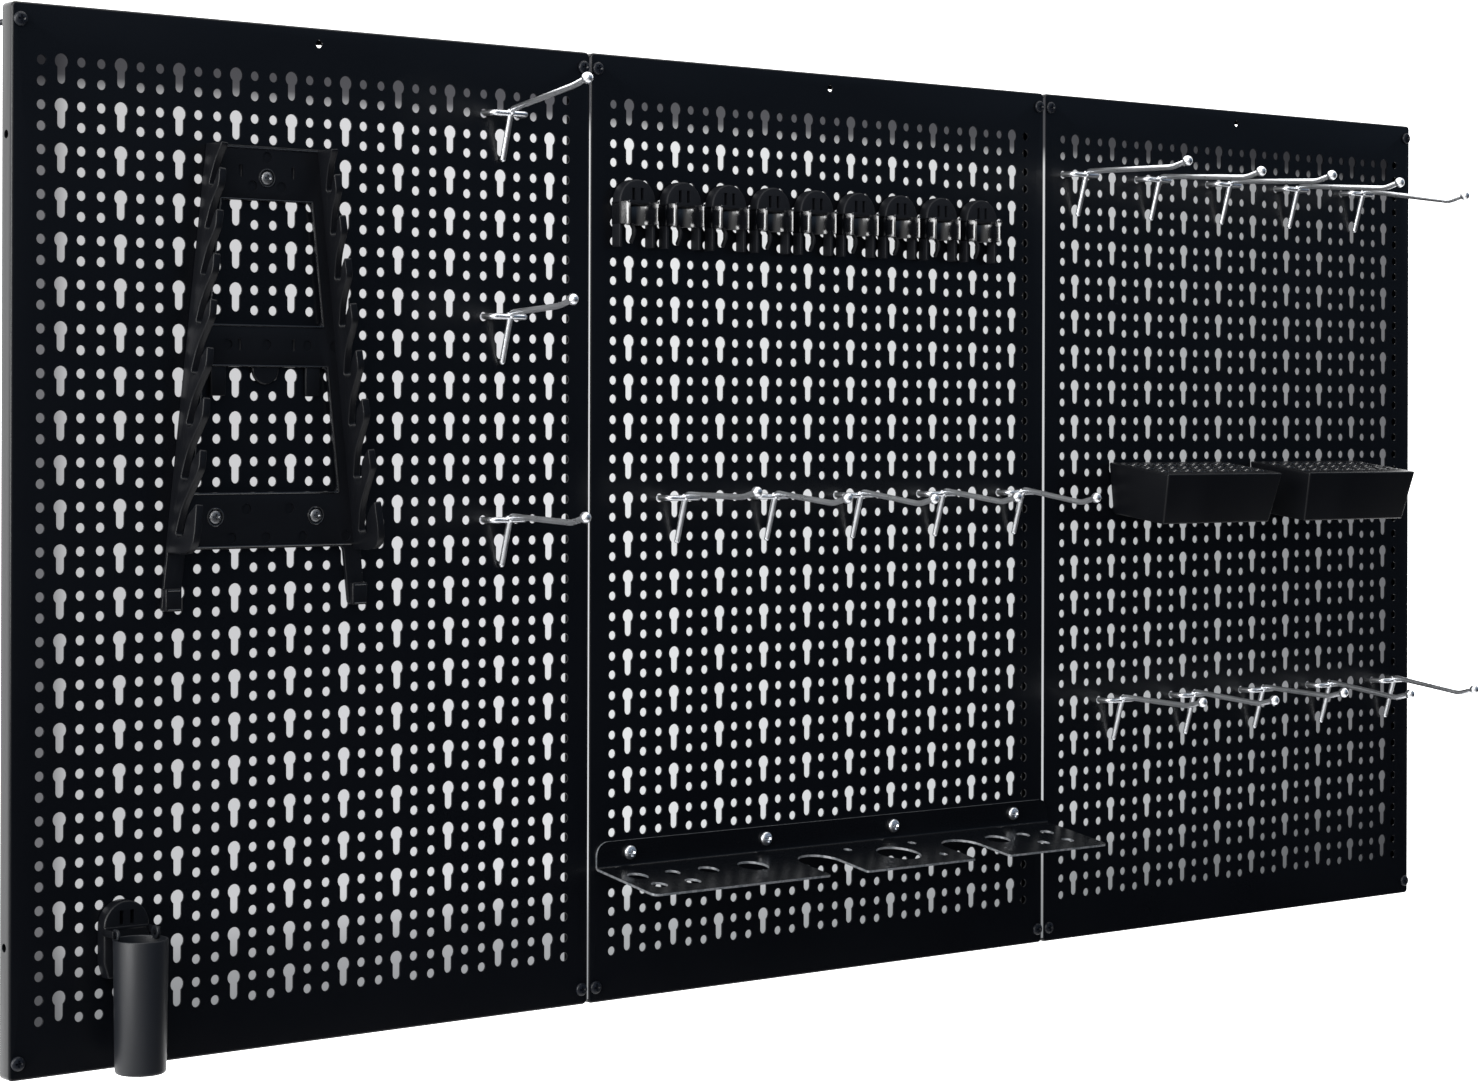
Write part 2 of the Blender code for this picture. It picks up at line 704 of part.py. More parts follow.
def clip_mesh():
    """A spring clip, its stud's axis at the origin's x and z and the panel's face at FACE."""
    head_z = KEY_DROP
    band_top = head_z + BASE_ABOVE_HEAD - BASE_HALF_WIDTH
    band_low = band_top - CLIP_BAND_HEIGHT
    skirt_low = band_low - CLIP_SKIRT_DROP
    clip = arched_base(0, head_z, band_top - LAP)
    middle = (band_top + band_low) / 2
    jaws = plate(jaw_outline(), CLIP_BAND_HEIGHT, Matrix.Translation((0, FACE, middle)))
    join(clip, jaws, stud(0, 0))
    front = FACE - GAP - BASE_DEPTH
    for side in (-1, 1):
        edges = sorted((side * BASE_HALF_WIDTH * 0.995, side * (BASE_HALF_WIDTH - CLIP_SKIRT_WALL)))
        low = (edges[0], front + CLIP_SKIRT_RECESS, skirt_low)
        join(clip, box(low, (edges[1], FACE - GAP, band_low + LAP)))
    throat_back = FACE - GAP - CLIP_BACK
    knee_out, knee_drop = CLIP_PROP_KNEE
    start = (0, throat_back + CLIP_PROP_BITE, band_low + CLIP_PROP_BITE)
    knee = (0, throat_back - knee_out, band_low - knee_drop)
    end = (0, FACE - GAP - CLIP_PROP_RADIUS * 1.2, band_low - CLIP_PROP_DROP)
    return join(clip, wire([start, knee, end], CLIP_PROP_RADIUS))


def build_clips(material):
    source = None
    for number, column in enumerate(CLIP_COLUMNS, 1):
        place = (column_x(1, column), 0, stud_z(CLIP_ROW))
        name = f"spring_clip_{number}"
        if source is None:
            source = place_part(clip_mesh(), name, material, place)
        else:
            copy_part(source, name, place)


# ---- Cup and hanger -----------------------------------------------------------------------------

def cup_rim_z():
    return row_z(CUP_ROW) + BASE_ABOVE_HEAD - CUP_BELOW_BASE_TOP


def cup_axis_y():
    return FACE - GAP - BASE_DEPTH - GAP - CUP_RIM_RADIUS


def cup_pivot():
    return FACE - CUP_PIVOT_REACH, cup_rim_z() + CUP_PIVOT_RISE


def cup_lug_inner_x():
    """Where the lug's inner face stands, so that its outer part sinks into the cup's wall."""
    inner = CUP_RIM_RADIUS - CUP_WALL
    behind = cup_axis_y() - cup_pivot()[0]
    wall_x = math.sqrt(inner ** 2 - behind ** 2)
    return wall_x + CUP_LUG_PROUD - CUP_LUG_WIDTH


def build_cup_hanger(material):
    """An arched base with two arms whose pegs point inward, through the cup's lugs."""
    x = column_x(0, CUP_COLUMN)
    head_z = row_z(CUP_ROW)
    bottom = head_z + BASE_ABOVE_HEAD - HANGER_HEIGHT
    arm_in = cup_lug_inner_x() + CUP_LUG_WIDTH + GAP
    half = max(BASE_HALF_WIDTH, arm_in + HANGER_ARM_BITE)
    hanger = arched_base(x, head_z, bottom, half, HANGER_FOOT_TAPER)
    join(hanger, stud(x, stud_z(CUP_ROW)))
    pivot_y, pivot_z = cup_pivot()
    front = FACE - GAP - BASE_DEPTH
    arm_low = cup_rim_z() + HANGER_ARM_RISE
    for side in (-1, 1):
        ends = sorted((side * arm_in, side * (arm_in + HANGER_ARM)))
        low = (x + ends[0], pivot_y - CUP_PEG_RADIUS, arm_low)
        high = (x + ends[1], front + LAP, arm_low + HANGER_ARM_DROP)
        join(hanger, box(low, high))
        inner = x + side * (cup_lug_inner_x() - CUP_PEG_PROUD)
        outer = x + side * (arm_in + HANGER_ARM / 2)
        join(hanger, rod((inner, pivot_y, pivot_z), (outer, pivot_y, pivot_z), CUP_PEG_RADIUS, 8))
    return place_part(hanger, "cup_hanger", material)


def build_cup(material):
    """A tapered tube with a floor, and a pierced lug either side of its rim."""
    x, y, rim = column_x(0, CUP_COLUMN), cup_axis_y(), cup_rim_z()
    inner_foot = CUP_FOOT_RADIUS - CUP_WALL
    profile = (
        (0.0, -CUP_HEIGHT + CUP_FLOOR),
        (inner_foot, -CUP_HEIGHT + CUP_FLOOR),
        (CUP_RIM_RADIUS - CUP_WALL, 0.0),
        (CUP_RIM_RADIUS, 0.0),
        (CUP_FOOT_RADIUS, -CUP_HEIGHT + CUP_FOOT_CHAMFER),
        (CUP_FOOT_RADIUS - CUP_FOOT_CHAMFER, -CUP_HEIGHT),
        (0.0, -CUP_HEIGHT),
    )
    cup = turned(profile, 20, Matrix.Translation((x, y, rim)))
    pivot_y, pivot_z = cup_pivot()
    inner_x = cup_lug_inner_x()
    for side in (-1, 1):
        start = (x + side * inner_x, pivot_y, pivot_z)
        end = (x + side * (inner_x + CUP_LUG_WIDTH), pivot_y, pivot_z)
        lug = rod(start, end, CUP_LUG_RADIUS, 10)
        hole_start = (x + side * (inner_x - OVERCUT), pivot_y, pivot_z)
        hole_end = (x + side * (inner_x + CUP_LUG_WIDTH + INSET), pivot_y, pivot_z)
        cut(lug, rod(hole_start, hole_end, CUP_PEG_RADIUS + GAP, 8))
        join(cup, lug)
        cut(cup, rod(hole_start, hole_end, CUP_PEG_RADIUS + GAP, 8))
    return place_part(cup, "cup", material)


# ---- Bit holders --------------------------------------------------------------------------------

def tapered_block(width, depth, height, side_taper, front_taper, slope):
    """A box with its back upright, narrower and shallower at its foot, sloping down to the front."""
    bm = bmesh.new()
    bmesh.ops.create_cube(bm, size=1.0)
    for vert in bm.verts:
        across, out, up = vert.co * 2
        low = (1 - up) / 2
        reach = (1 - out) / 2 * (depth - front_taper * low)
        vert.co.x = across * (width / 2 - side_taper * low)
        vert.co.y = -reach
        vert.co.z = -height * low - reach * math.tan(slope)
    return loose_object(finish_mesh(bm, "block"))


def holder_hole_places():
    """Centres of the holes in a bit holder's top, from its middle and from its back."""
    across, out = HOLDER_HOLE_PITCH
    first_x = -(HOLDER_HOLE_COLUMNS - 1) / 2 * across
    first_y = HOLDER_DEPTH / 2 - (HOLDER_HOLE_ROWS - 1) / 2 * out
    return [(first_x + i * across, first_y + j * out)
            for j in range(HOLDER_HOLE_ROWS) for i in range(HOLDER_HOLE_COLUMNS)]


def holder_mesh():
    """A bit holder, its origin midway between its studs' axes and the panel's face at FACE."""
    wall = HOLDER_WALL
    shell = tapered_block(HOLDER_WIDTH, HOLDER_DEPTH, HOLDER_HEIGHT,
                          HOLDER_SIDE_TAPER, HOLDER_FRONT_TAPER, HOLDER_SLOPE)
    hollow = tapered_block(HOLDER_WIDTH - 2 * wall, HOLDER_DEPTH - wall, HOLDER_HEIGHT - 2 * wall,
                           HOLDER_SIDE_TAPER, HOLDER_FRONT_TAPER, HOLDER_SLOPE)
    hollow.data.transform(Matrix.Translation((0, 0, -wall)))
    half = HOLDER_WIDTH / 2 - wall - HOLDER_SIDE_TAPER
    mouth = box((-half, -OVERCUT, -HOLDER_HEIGHT + wall), (half, OVERCUT, -wall - GAP))
    cut(shell, hollow, mouth)
    bm = bmesh.new()
    for x, out in holder_hole_places():
        level = -out * math.tan(HOLDER_SLOPE)
        add_rod(bm, (x, -out, level - wall - OVERCUT), (x, -out, level + OVERCUT), HOLDER_HOLE_RADIUS, 6)
    cut(shell, loose_object(finish_mesh(bm, "holes")))
    top = KEY_DROP - HOLDER_TOP_BELOW_HEAD
    shell.data.transform(Matrix.Translation((0, FACE - GAP, top)))
    half_span = (HOLDER_COLUMNS[0][1] - HOLDER_COLUMNS[0][0]) / 2 * COLUMN_PITCH
    for side in (-1, 1):
        x = side * half_span
        low = (x - HOLDER_BACK_BAR / 2, FACE - GAP - wall, top - HOLDER_HEIGHT + wall / 2)
        high = (x + HOLDER_BACK_BAR / 2, FACE - GAP - INSET, top - wall / 2)
        join(shell, box(low, high), stud(x, 0))
    return shell


def build_holders(material):
    source = None
    for name, (first, last) in zip(("bit_holder_left", "bit_holder_right"), HOLDER_COLUMNS):
        place = ((column_x(2, first) + column_x(2, last)) / 2, 0, stud_z(HOLDER_ROW))
        if source is None:
            source = place_part(holder_mesh(), name, material, place)
        else:
            copy_part(source, name, place)


# ---- Wrench rack --------------------------------------------------------------------------------

def rack_half_width(drop):
    return RACK_TOP_HALF + (RACK_FOOT_HALF - RACK_TOP_HALF) * drop / RACK_HEIGHT


def rounded(corners, radius, steps=3):
    """An outline with each corner of a polygon replaced by a curve."""
    outline = []
    for i, corner in enumerate(corners):
        corner = Vector(corner)
        before, after = Vector(corners[i - 1]), Vector(corners[(i + 1) % len(corners)])
        start = corner + (before - corner).normalized() * radius
        end = corner + (after - corner).normalized() * radius
        for k in range(steps + 1):
            t = k / steps
            outline.append(start * (1 - t) ** 2 + corner * 2 * t * (1 - t) + end * t ** 2)
    return [tuple(point) for point in outline]


def rack_frame():
    """The ladder: two spreading rails, three bars and two feet, in drops from its top edge."""
    foot_half = rack_half_width(RACK_HEIGHT)
    arch = RACK_BARS[2][1]
    outline = [(-rack_half_width(0), 0), (-foot_half, -RACK_HEIGHT)]
    outline += [(-foot_half + RACK_RAIL, -RACK_HEIGHT), (-rack_half_width(arch) + RACK_RAIL, -arch)]
    outline += [(-x, z) for x, z in reversed(outline)]
    windows = []
    for (_, high), (low, _) in zip(RACK_BARS, RACK_BARS[1:]):
        top, foot = rack_half_width(high) - RACK_RAIL, rack_half_width(low) - RACK_RAIL
        corners = [(-top, -high), (-foot, -low), (foot, -low), (top, -high)]
        windows.append(rounded(corners, RACK_CORNER))
    return outline, windows


def slot_drops():
    """Drop of each slot's floor below the rack's top edge, and its tooth's rise above that."""
    drops, drop = [], RACK_FIRST_SLOT
    for i in range(RACK_SLOTS):
        drops.append(drop)
        drop += RACK_SLOT_STEP + i * RACK_SLOT_GROWTH
    return drops


def fin_reach(drop):
    share = drop / RACK_FIN_LENGTH
    return RACK_FIN_TOP_DEPTH + (RACK_FIN_FOOT_DEPTH - RACK_FIN_TOP_DEPTH) * share


def grown(size, i):
    """A size of slot i, counted from the top: its first value and its growth per slot."""
    first, growth = size
    return first + i * growth


def slot_points(i, drop):
    """One slot from its upper lip round its floor to the tooth's tip, in reach and height."""
    rise = grown(RACK_TOOTH_RISE, i)
    tip = drop - rise
    lip = tip - grown(RACK_MOUTH, i)
    rear = grown(RACK_SLOT_REAR, i)
    base = rear + grown(RACK_SLOT_WIDTH, i)
    bend_out, bend_up, bend_growth = RACK_SLOT_BEND
    floor_in, rear_up, base_up = RACK_SLOT_FLOOR
    knee_out, knee_share = RACK_TOOTH_KNEE
    return [(fin_reach(lip), -lip), (rear + bend_out, bend_up + i * bend_growth - drop),
            (rear, rear_up - drop), (rear + floor_in, -drop), (base, base_up - drop),
            (base + knee_out, knee_share * rise - drop),
            (fin_reach(tip) - RACK_TOOTH_FLAT, -tip), (fin_reach(tip), -tip - RACK_TOOTH_FLAT)]


def fin_outline():
    """Side view of a fin: x is the reach from the panel and y the drop, with open slots."""
    outline = [(0.0, 0.0), (fin_reach(0), 0.0)]
    for i, drop in enumerate(slot_drops()):
        outline += slot_points(i, drop)
    bend = arc((0, 0), RACK_FIN_BEND, 0, -90, 4)
    foot = RACK_FIN_LENGTH
    deep = fin_reach(foot)
    outline += [(deep - RACK_FIN_BEND + x, -foot + RACK_FIN_BEND + y) for x, y in bend]
    outline.append((0.0, -foot))
    return outline


def rack_fin(side):
    """One slotted fin, standing on a rail's outer edge."""
    x, top = rack_centre()
    lean = math.atan((RACK_FOOT_HALF - RACK_TOP_HALF) / RACK_HEIGHT)
    upright = Matrix(((0, 0, 1, 0), (-1, 0, 0, 0), (0, 1, 0, 0), (0, 0, 0, 1)))
    inset = RACK_TOP_HALF - RACK_FIN / 2
    place = Matrix.Translation((x + side * inset, FACE - GAP - INSET / 2, top - INSET))
    tilt = Matrix.Rotation(-side * lean, 4, "Y")
    return plate(fin_outline(), RACK_FIN, place @ tilt @ upright)


def build_rack(material):
    x, top = rack_centre()
    outline, windows = rack_frame()
    middle = FACE - GAP - RACK_PLATE / 2
    flat = Matrix.Translation((x, middle, top)) @ Matrix.Rotation(math.radians(90), 4, "X")
    rack = plate(outline, RACK_PLATE, flat, windows)
    join(rack, rack_fin(-1), rack_fin(1))
    back = FACE - GAP
    block_height, block_depth = RACK_FOOT_BLOCK
    foot_inset, foot_narrower = RACK_FOOT_TRIM
    tab_width, tab_drop = RACK_TAB
    mid_low = RACK_BARS[1][1]
    for side in (-1, 1):
        outer = x + side * (RACK_FOOT_HALF - foot_inset)
        inner = outer - side * (RACK_RAIL - foot_narrower)
        edges = sorted((outer, inner))
        join(rack, box((edges[0], back - block_depth, top - RACK_HEIGHT + INSET),
                       (edges[1], back - INSET, top - RACK_HEIGHT + block_height)))
        tab = x + side * RACK_TAB_SPACING
        join(rack, box((tab - tab_width / 2, back - RACK_PLATE + RACK_TAB_THINNER, top - mid_low - tab_drop),
                       (tab + tab_width / 2, back - RACK_TAB_THINNER, top - mid_low + LAP)))
    boss_z = top - mid_low - RACK_BOSS_DROP
    join(rack, rod((x, back - RACK_PLATE + RACK_BOSS_THINNER, boss_z),
                   (x, back - RACK_BOSS_THINNER, boss_z), RACK_BOSS_RADIUS, 12))
    head_room, sunk = RACK_COUNTERBORE
    front = back - RACK_PLATE
    for screw_x, screw_z in rack_screw_places():
        cut(rack, rod((screw_x, front - OVERCUT, screw_z), (screw_x, front + sunk, screw_z), head_room, 12),
            rod((screw_x, front - OVERCUT, screw_z), (screw_x, back + OVERCUT, screw_z),
                RACK_SCREW_SHANK_RADIUS + GAP, SCREW_SIDES))
    return place_part(rack, "wrench_rack", material)


# ---- Shelf --------------------------------------------------------------------------------------

def shelf_fold_z():
    return row_z(SHELF_SCREW_ROW) + SHELF_SCREW_BELOW_TOP - SHELF_FLANGE


def shelf_plate_outline():
    """Plan of the plate: x along the board and y out of it, with two mouths open to the front."""
    edge = -SHELF_DEPTH
    corner = SHELF_CORNER
    left, right = SHELF_LEFT + SHELF_ROOT, SHELF_RIGHT - SHELF_ROOT
    across, inward = SHELF_MOUTH_CHAMFER
    outline = [(left, 0.0)]
    outline += arc((left + corner, edge + corner), corner, 180, 270, 3)
    for x in SHELF_MOUTHS:
        radius = SHELF_MOUTH_RADIUS
        outline += [(x - radius - across, edge), (x - radius, edge + inward)]
        outline += arc((x, -SHELF_MOUTH_REACH), radius, 180, 0, 10)
        outline += [(x + radius, edge + inward), (x + radius + across, edge)]
    outline += arc((right - corner, edge + corner), corner, 270, 360, 3)
    outline.append((right, 0.0))
    return outline


def build_shelf(material):
    half = SHELF_THICKNESS / 2
    fold = shelf_fold_z()
    back = FACE - GAP
    corner, high = SHELF_FLANGE_CORNER, SHELF_FLANGE
    outline = [(SHELF_LEFT, 0.0), (SHELF_RIGHT, 0.0)]
    outline += arc((SHELF_RIGHT - corner, high - corner), corner, 0, 90, 5)
    outline += arc((SHELF_LEFT + corner, high - corner), corner, 90, 180, 5)
    screw_level = row_z(SHELF_SCREW_ROW) - fold
    screw_hole = SHELF_SCREW_SHANK_RADIUS + GAP
    holes = [circle((column_x(1, c), screw_level), screw_hole, 8) for c in SHELF_SCREW_COLUMNS]
    upright = Matrix.Translation((0, back - half, fold)) @ Matrix.Rotation(math.radians(90), 4, "X")
    shelf = plate(outline, SHELF_THICKNESS, upright, holes)
    rounds = [circle((x, -out), radius, 10) for x, out, radius in SHELF_HOLES]
    root = (0, back - SHELF_ROOT, fold + half + SHELF_ROOT)
    level = Matrix.Translation(root) @ Matrix.Rotation(SHELF_SLOPE, 4, "X")
    combine(shelf, plate(shelf_plate_outline(), SHELF_THICKNESS, level, rounds), "UNION")
    return place_part(shelf, "bit_shelf", material)


# ---- Build --------------------------------------------------------------------------------------

def build():
    black_steel = new_material("black_powder_coat", (0.012, 0.014, 0.018), 0.38, 0.0)
    black_plastic = new_material("black_plastic", (0.020, 0.021, 0.024), 0.42, 0.0)
    cup_plastic = new_material("cup_plastic", (0.045, 0.050, 0.056), 0.55, 0.0)
    zinc = new_material("bright_zinc", (0.78, 0.79, 0.80), 0.22, 1.0)
    black_screw = new_material("black_screw", (0.030, 0.031, 0.034), 0.35, 0.6)
    shelf_steel = new_material("shelf_steel", (0.016, 0.017, 0.020), 0.30, 0.0)
    for panel, name in enumerate(PANEL_NAMES):
        build_panel(panel, name, black_steel)
    build_wall_screws(black_screw)
    build_hooks(zinc)
    build_clips(black_plastic)
    build_cup_hanger(black_plastic)
    build_cup(cup_plastic)
    build_holders(black_plastic)
    build_rack(black_plastic)
    build_rack_screws(zinc)
    build_shelf(shelf_steel)
    build_shelf_screws(zinc)
    build_shelf_nuts(zinc)


clear_scene()
PARTS = new_collection("pegboard_tool_wall")
build()
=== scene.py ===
"""Looks of a pegboard tool wall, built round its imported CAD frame.

Laid out as an add-on: sizes and colours are properties, each group of pieces is an operator, and
main() runs them all. Metres; +X right, +Y into the wall, +Z up.
"""
import json
import math

import bmesh
import bpy
from bpy.props import FloatProperty, FloatVectorProperty, PointerProperty
from mathutils import Matrix, Vector, geometry


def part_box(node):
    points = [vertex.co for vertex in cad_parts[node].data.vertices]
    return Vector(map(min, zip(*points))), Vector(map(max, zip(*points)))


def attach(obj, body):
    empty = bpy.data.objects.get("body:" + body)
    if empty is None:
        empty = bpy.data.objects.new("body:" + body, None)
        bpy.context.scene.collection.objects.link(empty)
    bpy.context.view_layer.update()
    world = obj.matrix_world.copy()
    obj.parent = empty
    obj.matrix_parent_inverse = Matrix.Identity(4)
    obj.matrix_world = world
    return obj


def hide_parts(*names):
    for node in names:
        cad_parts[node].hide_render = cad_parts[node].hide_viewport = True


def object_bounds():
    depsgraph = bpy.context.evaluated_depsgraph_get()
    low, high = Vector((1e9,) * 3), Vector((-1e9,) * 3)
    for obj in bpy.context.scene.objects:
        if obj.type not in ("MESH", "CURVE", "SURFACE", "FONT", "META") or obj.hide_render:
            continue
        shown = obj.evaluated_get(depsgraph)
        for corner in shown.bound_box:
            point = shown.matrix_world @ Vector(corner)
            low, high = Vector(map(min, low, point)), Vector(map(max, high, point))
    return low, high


bl_info = {
    "name": "Pegboard tool wall",
    "version": (1, 0, 0),
    "blender": (4, 5, 0),
    "location": "View3D > Sidebar > Tool wall",
    "description": "Builds the visible pieces of a pegboard tool wall on its CAD frame",
    "category": "Object",
}

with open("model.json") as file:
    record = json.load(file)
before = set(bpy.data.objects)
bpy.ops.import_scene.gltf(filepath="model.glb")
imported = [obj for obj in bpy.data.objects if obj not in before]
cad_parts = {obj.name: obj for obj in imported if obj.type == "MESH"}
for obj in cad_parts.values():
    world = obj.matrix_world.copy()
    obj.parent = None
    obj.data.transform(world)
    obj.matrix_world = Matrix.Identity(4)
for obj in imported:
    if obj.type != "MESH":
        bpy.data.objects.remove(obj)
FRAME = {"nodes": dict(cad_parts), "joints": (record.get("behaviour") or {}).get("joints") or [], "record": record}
CAD_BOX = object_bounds()
BOXES = {node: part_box(node) for node in FRAME["nodes"]}
JOINTS = {joint["name"]: joint for joint in FRAME["joints"]}
BODIES = {node: body for body, nodes in FRAME["record"]["behaviour"]["bodies"].items() for node in nodes}

# The board's own grid, as the CAD frame has it
FACE = BOXES["panel_centre"][0].y
TOP = BOXES["panel_centre"][1].z
COLUMN_PITCH = 0.0127
PAIR_PITCH = 0.0254
PAIR_GAP = 0.0120
COLUMNS = 30
ROW_PAIRS = 22
GAP = 0.0003
KEY_DROP = 0.0103
PANELS = ("left", "centre", "right")


def middle(node):
    """The middle of a CAD node's box."""
    return tuple((a + b) / 2 for a, b in zip(*BOXES[node]))


# ---- Sizes and colours --------------------------------------------------------------------------

def length(name, default, about):
    return FloatProperty(name=name, default=default, min=0.0, subtype="DISTANCE", unit="LENGTH",
                         precision=5, description=about)


def shade_of(name, default, about):
    return FloatVectorProperty(name=name, default=default, size=3, subtype="COLOR", min=0.0, max=1.0,
                               description=about)


def share(name, default, about):
    return FloatProperty(name=name, default=default, min=0.0, max=1.0, subtype="FACTOR", description=about)


def amount(name, default, about, **more):
    return FloatProperty(name=name, default=default, min=0.0, description=about, **more)


class PanelSizes(bpy.types.PropertyGroup):
    sheet: length("Sheet", 0.0012, "Thickness of the panels' sheet steel")
    fold: length("Fold radius", 0.0016, "Outer radius of the folded edges")
    lip: length("Return lip", 0.0090, "Width of the lip folded in behind")
    round_hole: length("Round hole", 0.0029, "Radius of the round holes")
    key_head: length("Keyhole head", 0.0044, "Radius of the keyholes' heads")
    key_slot: length("Keyhole slot", 0.0054, "Width of the keyholes' slots")
    colour: shade_of("Powder coat", (0.0015, 0.0019, 0.0030), "Colour of the panels")
    gloss: share("Roughness", 0.30, "Roughness of the powder coat")


class WireSizes(bpy.types.PropertyGroup):
    wire: length("Wire radius", 0.0019, "Radius of the hooks' wire")
    ball: length("Ball radius", 0.0036, "Radius of the ball on each hook's tip")
    crossbar: length("Crossbar reach", 0.0105, "How far the crossbar stands off the panel")
    leg: length("Leg drop", 0.0295, "How far the leg reaches below the holes")
    colour: shade_of("Zinc plate", (0.90, 0.92, 0.95), "Colour of the plated wire and screws")
    gloss: share("Roughness", 0.30, "Roughness of the zinc plate")


class PlasticSizes(bpy.types.PropertyGroup):
    edge: length("Edge radius", 0.0008, "Rounding of the moulded edges")
    colour: shade_of("Black plastic", (0.0026, 0.0030, 0.0042), "Colour of the clips, rack and holders")
    cup: shade_of("Cup plastic", (0.0050, 0.0060, 0.0082), "Colour of the cup")
    gloss: share("Roughness", 0.38, "Roughness of the moulded plastic")
    cup_gloss: share("Cup roughness", 0.44, "Roughness of the cup")


class ShelfSizes(bpy.types.PropertyGroup):
    sheet: length("Sheet", 0.0015, "Thickness of the shelf's steel")
    bend: length("Bend radius", 0.0020, "Radius of the shelf's fold, to the middle of the sheet")
    colour: shade_of("Shelf paint", (0.0018, 0.0021, 0.0030), "Colour of the shelf")
    gloss: share("Roughness", 0.27, "Roughness of the shelf's paint")


class StageSizes(bpy.types.PropertyGroup):
    backdrop: amount("Backdrop", 2.6, "Brightness behind the board")
    front: amount("Room", 0.24, "Brightness in front of the board")
    # Strength of the painted light on the wall behind the holes
    behind: amount("Wall glow", 1.0, "Brightness seen through the holes")
    key: amount("Key light", 26.0, "Power of the key light", unit="POWER")
    side: amount("Side light", 85.0, "Power of the side light", unit="POWER")
    top: amount("Top light", 9.0, "Power of the top light", unit="POWER")
    lens: amount("Lens", 80.62, "Focal length", subtype="DISTANCE_CAMERA")
    floor: length("Floor drop", 2.3, "How far the floor lies below the board's top edge")


# ---- Materials ----------------------------------------------------------------------------------

class Wire:
    """A node's socket that takes part in arithmetic: every operation adds a Math node."""

    def __init__(self, recipe, socket):
        self.recipe = recipe
        self.socket = socket

    def math(self, operation, *values):
        return self.recipe.add("ShaderNodeMath", {"operation": operation}, dict(enumerate(values)))

    def __add__(self, other):
        return self.math("ADD", self, other)

    def __sub__(self, other):
        return self.math("SUBTRACT", self, other)

    def __rsub__(self, other):
        return self.math("SUBTRACT", other, self)

    def __mul__(self, other):
        return self.math("MULTIPLY", self, other)

    __radd__ = __add__
    __rmul__ = __mul__


class Recipe:
    """A material and the nodes that make it."""

    def __init__(self, name, tree=None):
        self.material = None
        if tree is None:
            self.material = bpy.data.materials.new(name)
            self.material.use_nodes = True
            tree = self.material.node_tree
        self.tree = tree
        self.tree.nodes.clear()

    def add(self, kind, settings=None, inputs=None, output=0):
        """A node: its settings first, then the values or links of its sockets."""
        node = self.tree.nodes.new(kind)
        for key, value in (settings or {}).items():
            if key == "stops":
                for element, (place, colour) in zip(self.stops(node, len(value)), value):
                    element.position, element.color = place, (*colour, 1.0)
            else:
                setattr(node, key, value)
        for key, value in (inputs or {}).items():
            if isinstance(value, Wire):
                self.tree.links.new(value.socket, node.inputs[key])
            else:
                node.inputs[key].default_value = value
        return Wire(self, node.outputs[output]) if node.outputs else node

    @staticmethod
    def stops(node, count):
        elements = node.color_ramp.elements
        while len(elements) < count:
            elements.new(1.0)
        return elements

    def noise(self, scale, detail=2.0, stretch=(1.0, 1.0, 1.0)):
        """Noise in the piece's own metres: scale is in patches per metre."""
        place = self.add("ShaderNodeTexCoord", output="Object")
        place = self.add("ShaderNodeMapping", None, {"Vector": place, "Scale": stretch})
        return self.add("ShaderNodeTexNoise", None, {"Vector": place, "Scale": scale, "Detail": detail})

    def ramp(self, value, *stops):
        return self.add("ShaderNodeValToRGB", {"stops": stops}, {"Fac": value})

    def tint(self, factor, low, high):
        colours = {0: factor, 6: (*low, 1.0), 7: (*high, 1.0)}
        return self.add("ShaderNodeMix", {"data_type": "RGBA"}, colours, 2)

    def surface(self, inputs, height, depth):
        """The shader with its bump; depth is the bump's height in metres."""
        bump = self.add("ShaderNodeBump", None, {"Height": height, "Distance": depth, "Strength": 1.0})
        shader = self.add("ShaderNodeBsdfPrincipled", None, {"Normal": bump, **inputs})
        self.add("ShaderNodeOutputMaterial", None, {"Surface": shader})
        return self.material


def scaled(colour, factor):
    return tuple(min(1.0, channel * factor) for channel in colour)


def powder_coat(name, colour, gloss):
    """Sprayed paint on steel: fine orange peel, and a slow drift in depth and gloss."""
    recipe = Recipe(name)
    drift = recipe.noise(9.0, 3.0)
    peel = recipe.noise(620.0, 2.0)
    grain = recipe.noise(2400.0, 1.0)
    inputs = {
        "Base Color": recipe.tint(drift, scaled(colour, 0.8), scaled(colour, 1.25)),
        "Roughness": drift * 0.08 + grain * 0.08 + (gloss - 0.08),
        "Specular IOR Level": 0.28,
    }
    return recipe.surface(inputs, peel + grain * 0.3, 0.000035)


def moulded_plastic(name, colour, gloss, texture=0.00003, shine=0.22):
    """Injection-moulded plastic with a fine etched texture and faint flow marks."""
    recipe = Recipe(name)
    flow = recipe.noise(35.0, 4.0, (1.0, 1.0, 0.4))
    etch = recipe.noise(1500.0, 2.0)
    inputs = {
        "Base Color": recipe.tint(flow, scaled(colour, 0.8), scaled(colour, 1.3)),
        "Roughness": flow * 0.10 + etch * 0.06 + (gloss - 0.08),
        "Specular IOR Level": shine,
    }
    return recipe.surface(inputs, etch, texture)


def zinc_plate(name, colour, gloss):
    """Bright zinc: drawn lines along the metal, and soft grey clouds."""
    recipe = Recipe(name)
    cloud = recipe.noise(60.0, 4.0)
    drawn = recipe.noise(1800.0, 2.0, (1.0, 0.12, 1.0))
    inputs = {
        "Base Color": recipe.tint(cloud, scaled(colour, 0.82), colour),
        "Roughness": cloud * 0.10 + drawn * 0.08 + (gloss - 0.09),
        "Metallic": 1.0,
    }
    return recipe.surface(inputs, drawn, 0.000012)


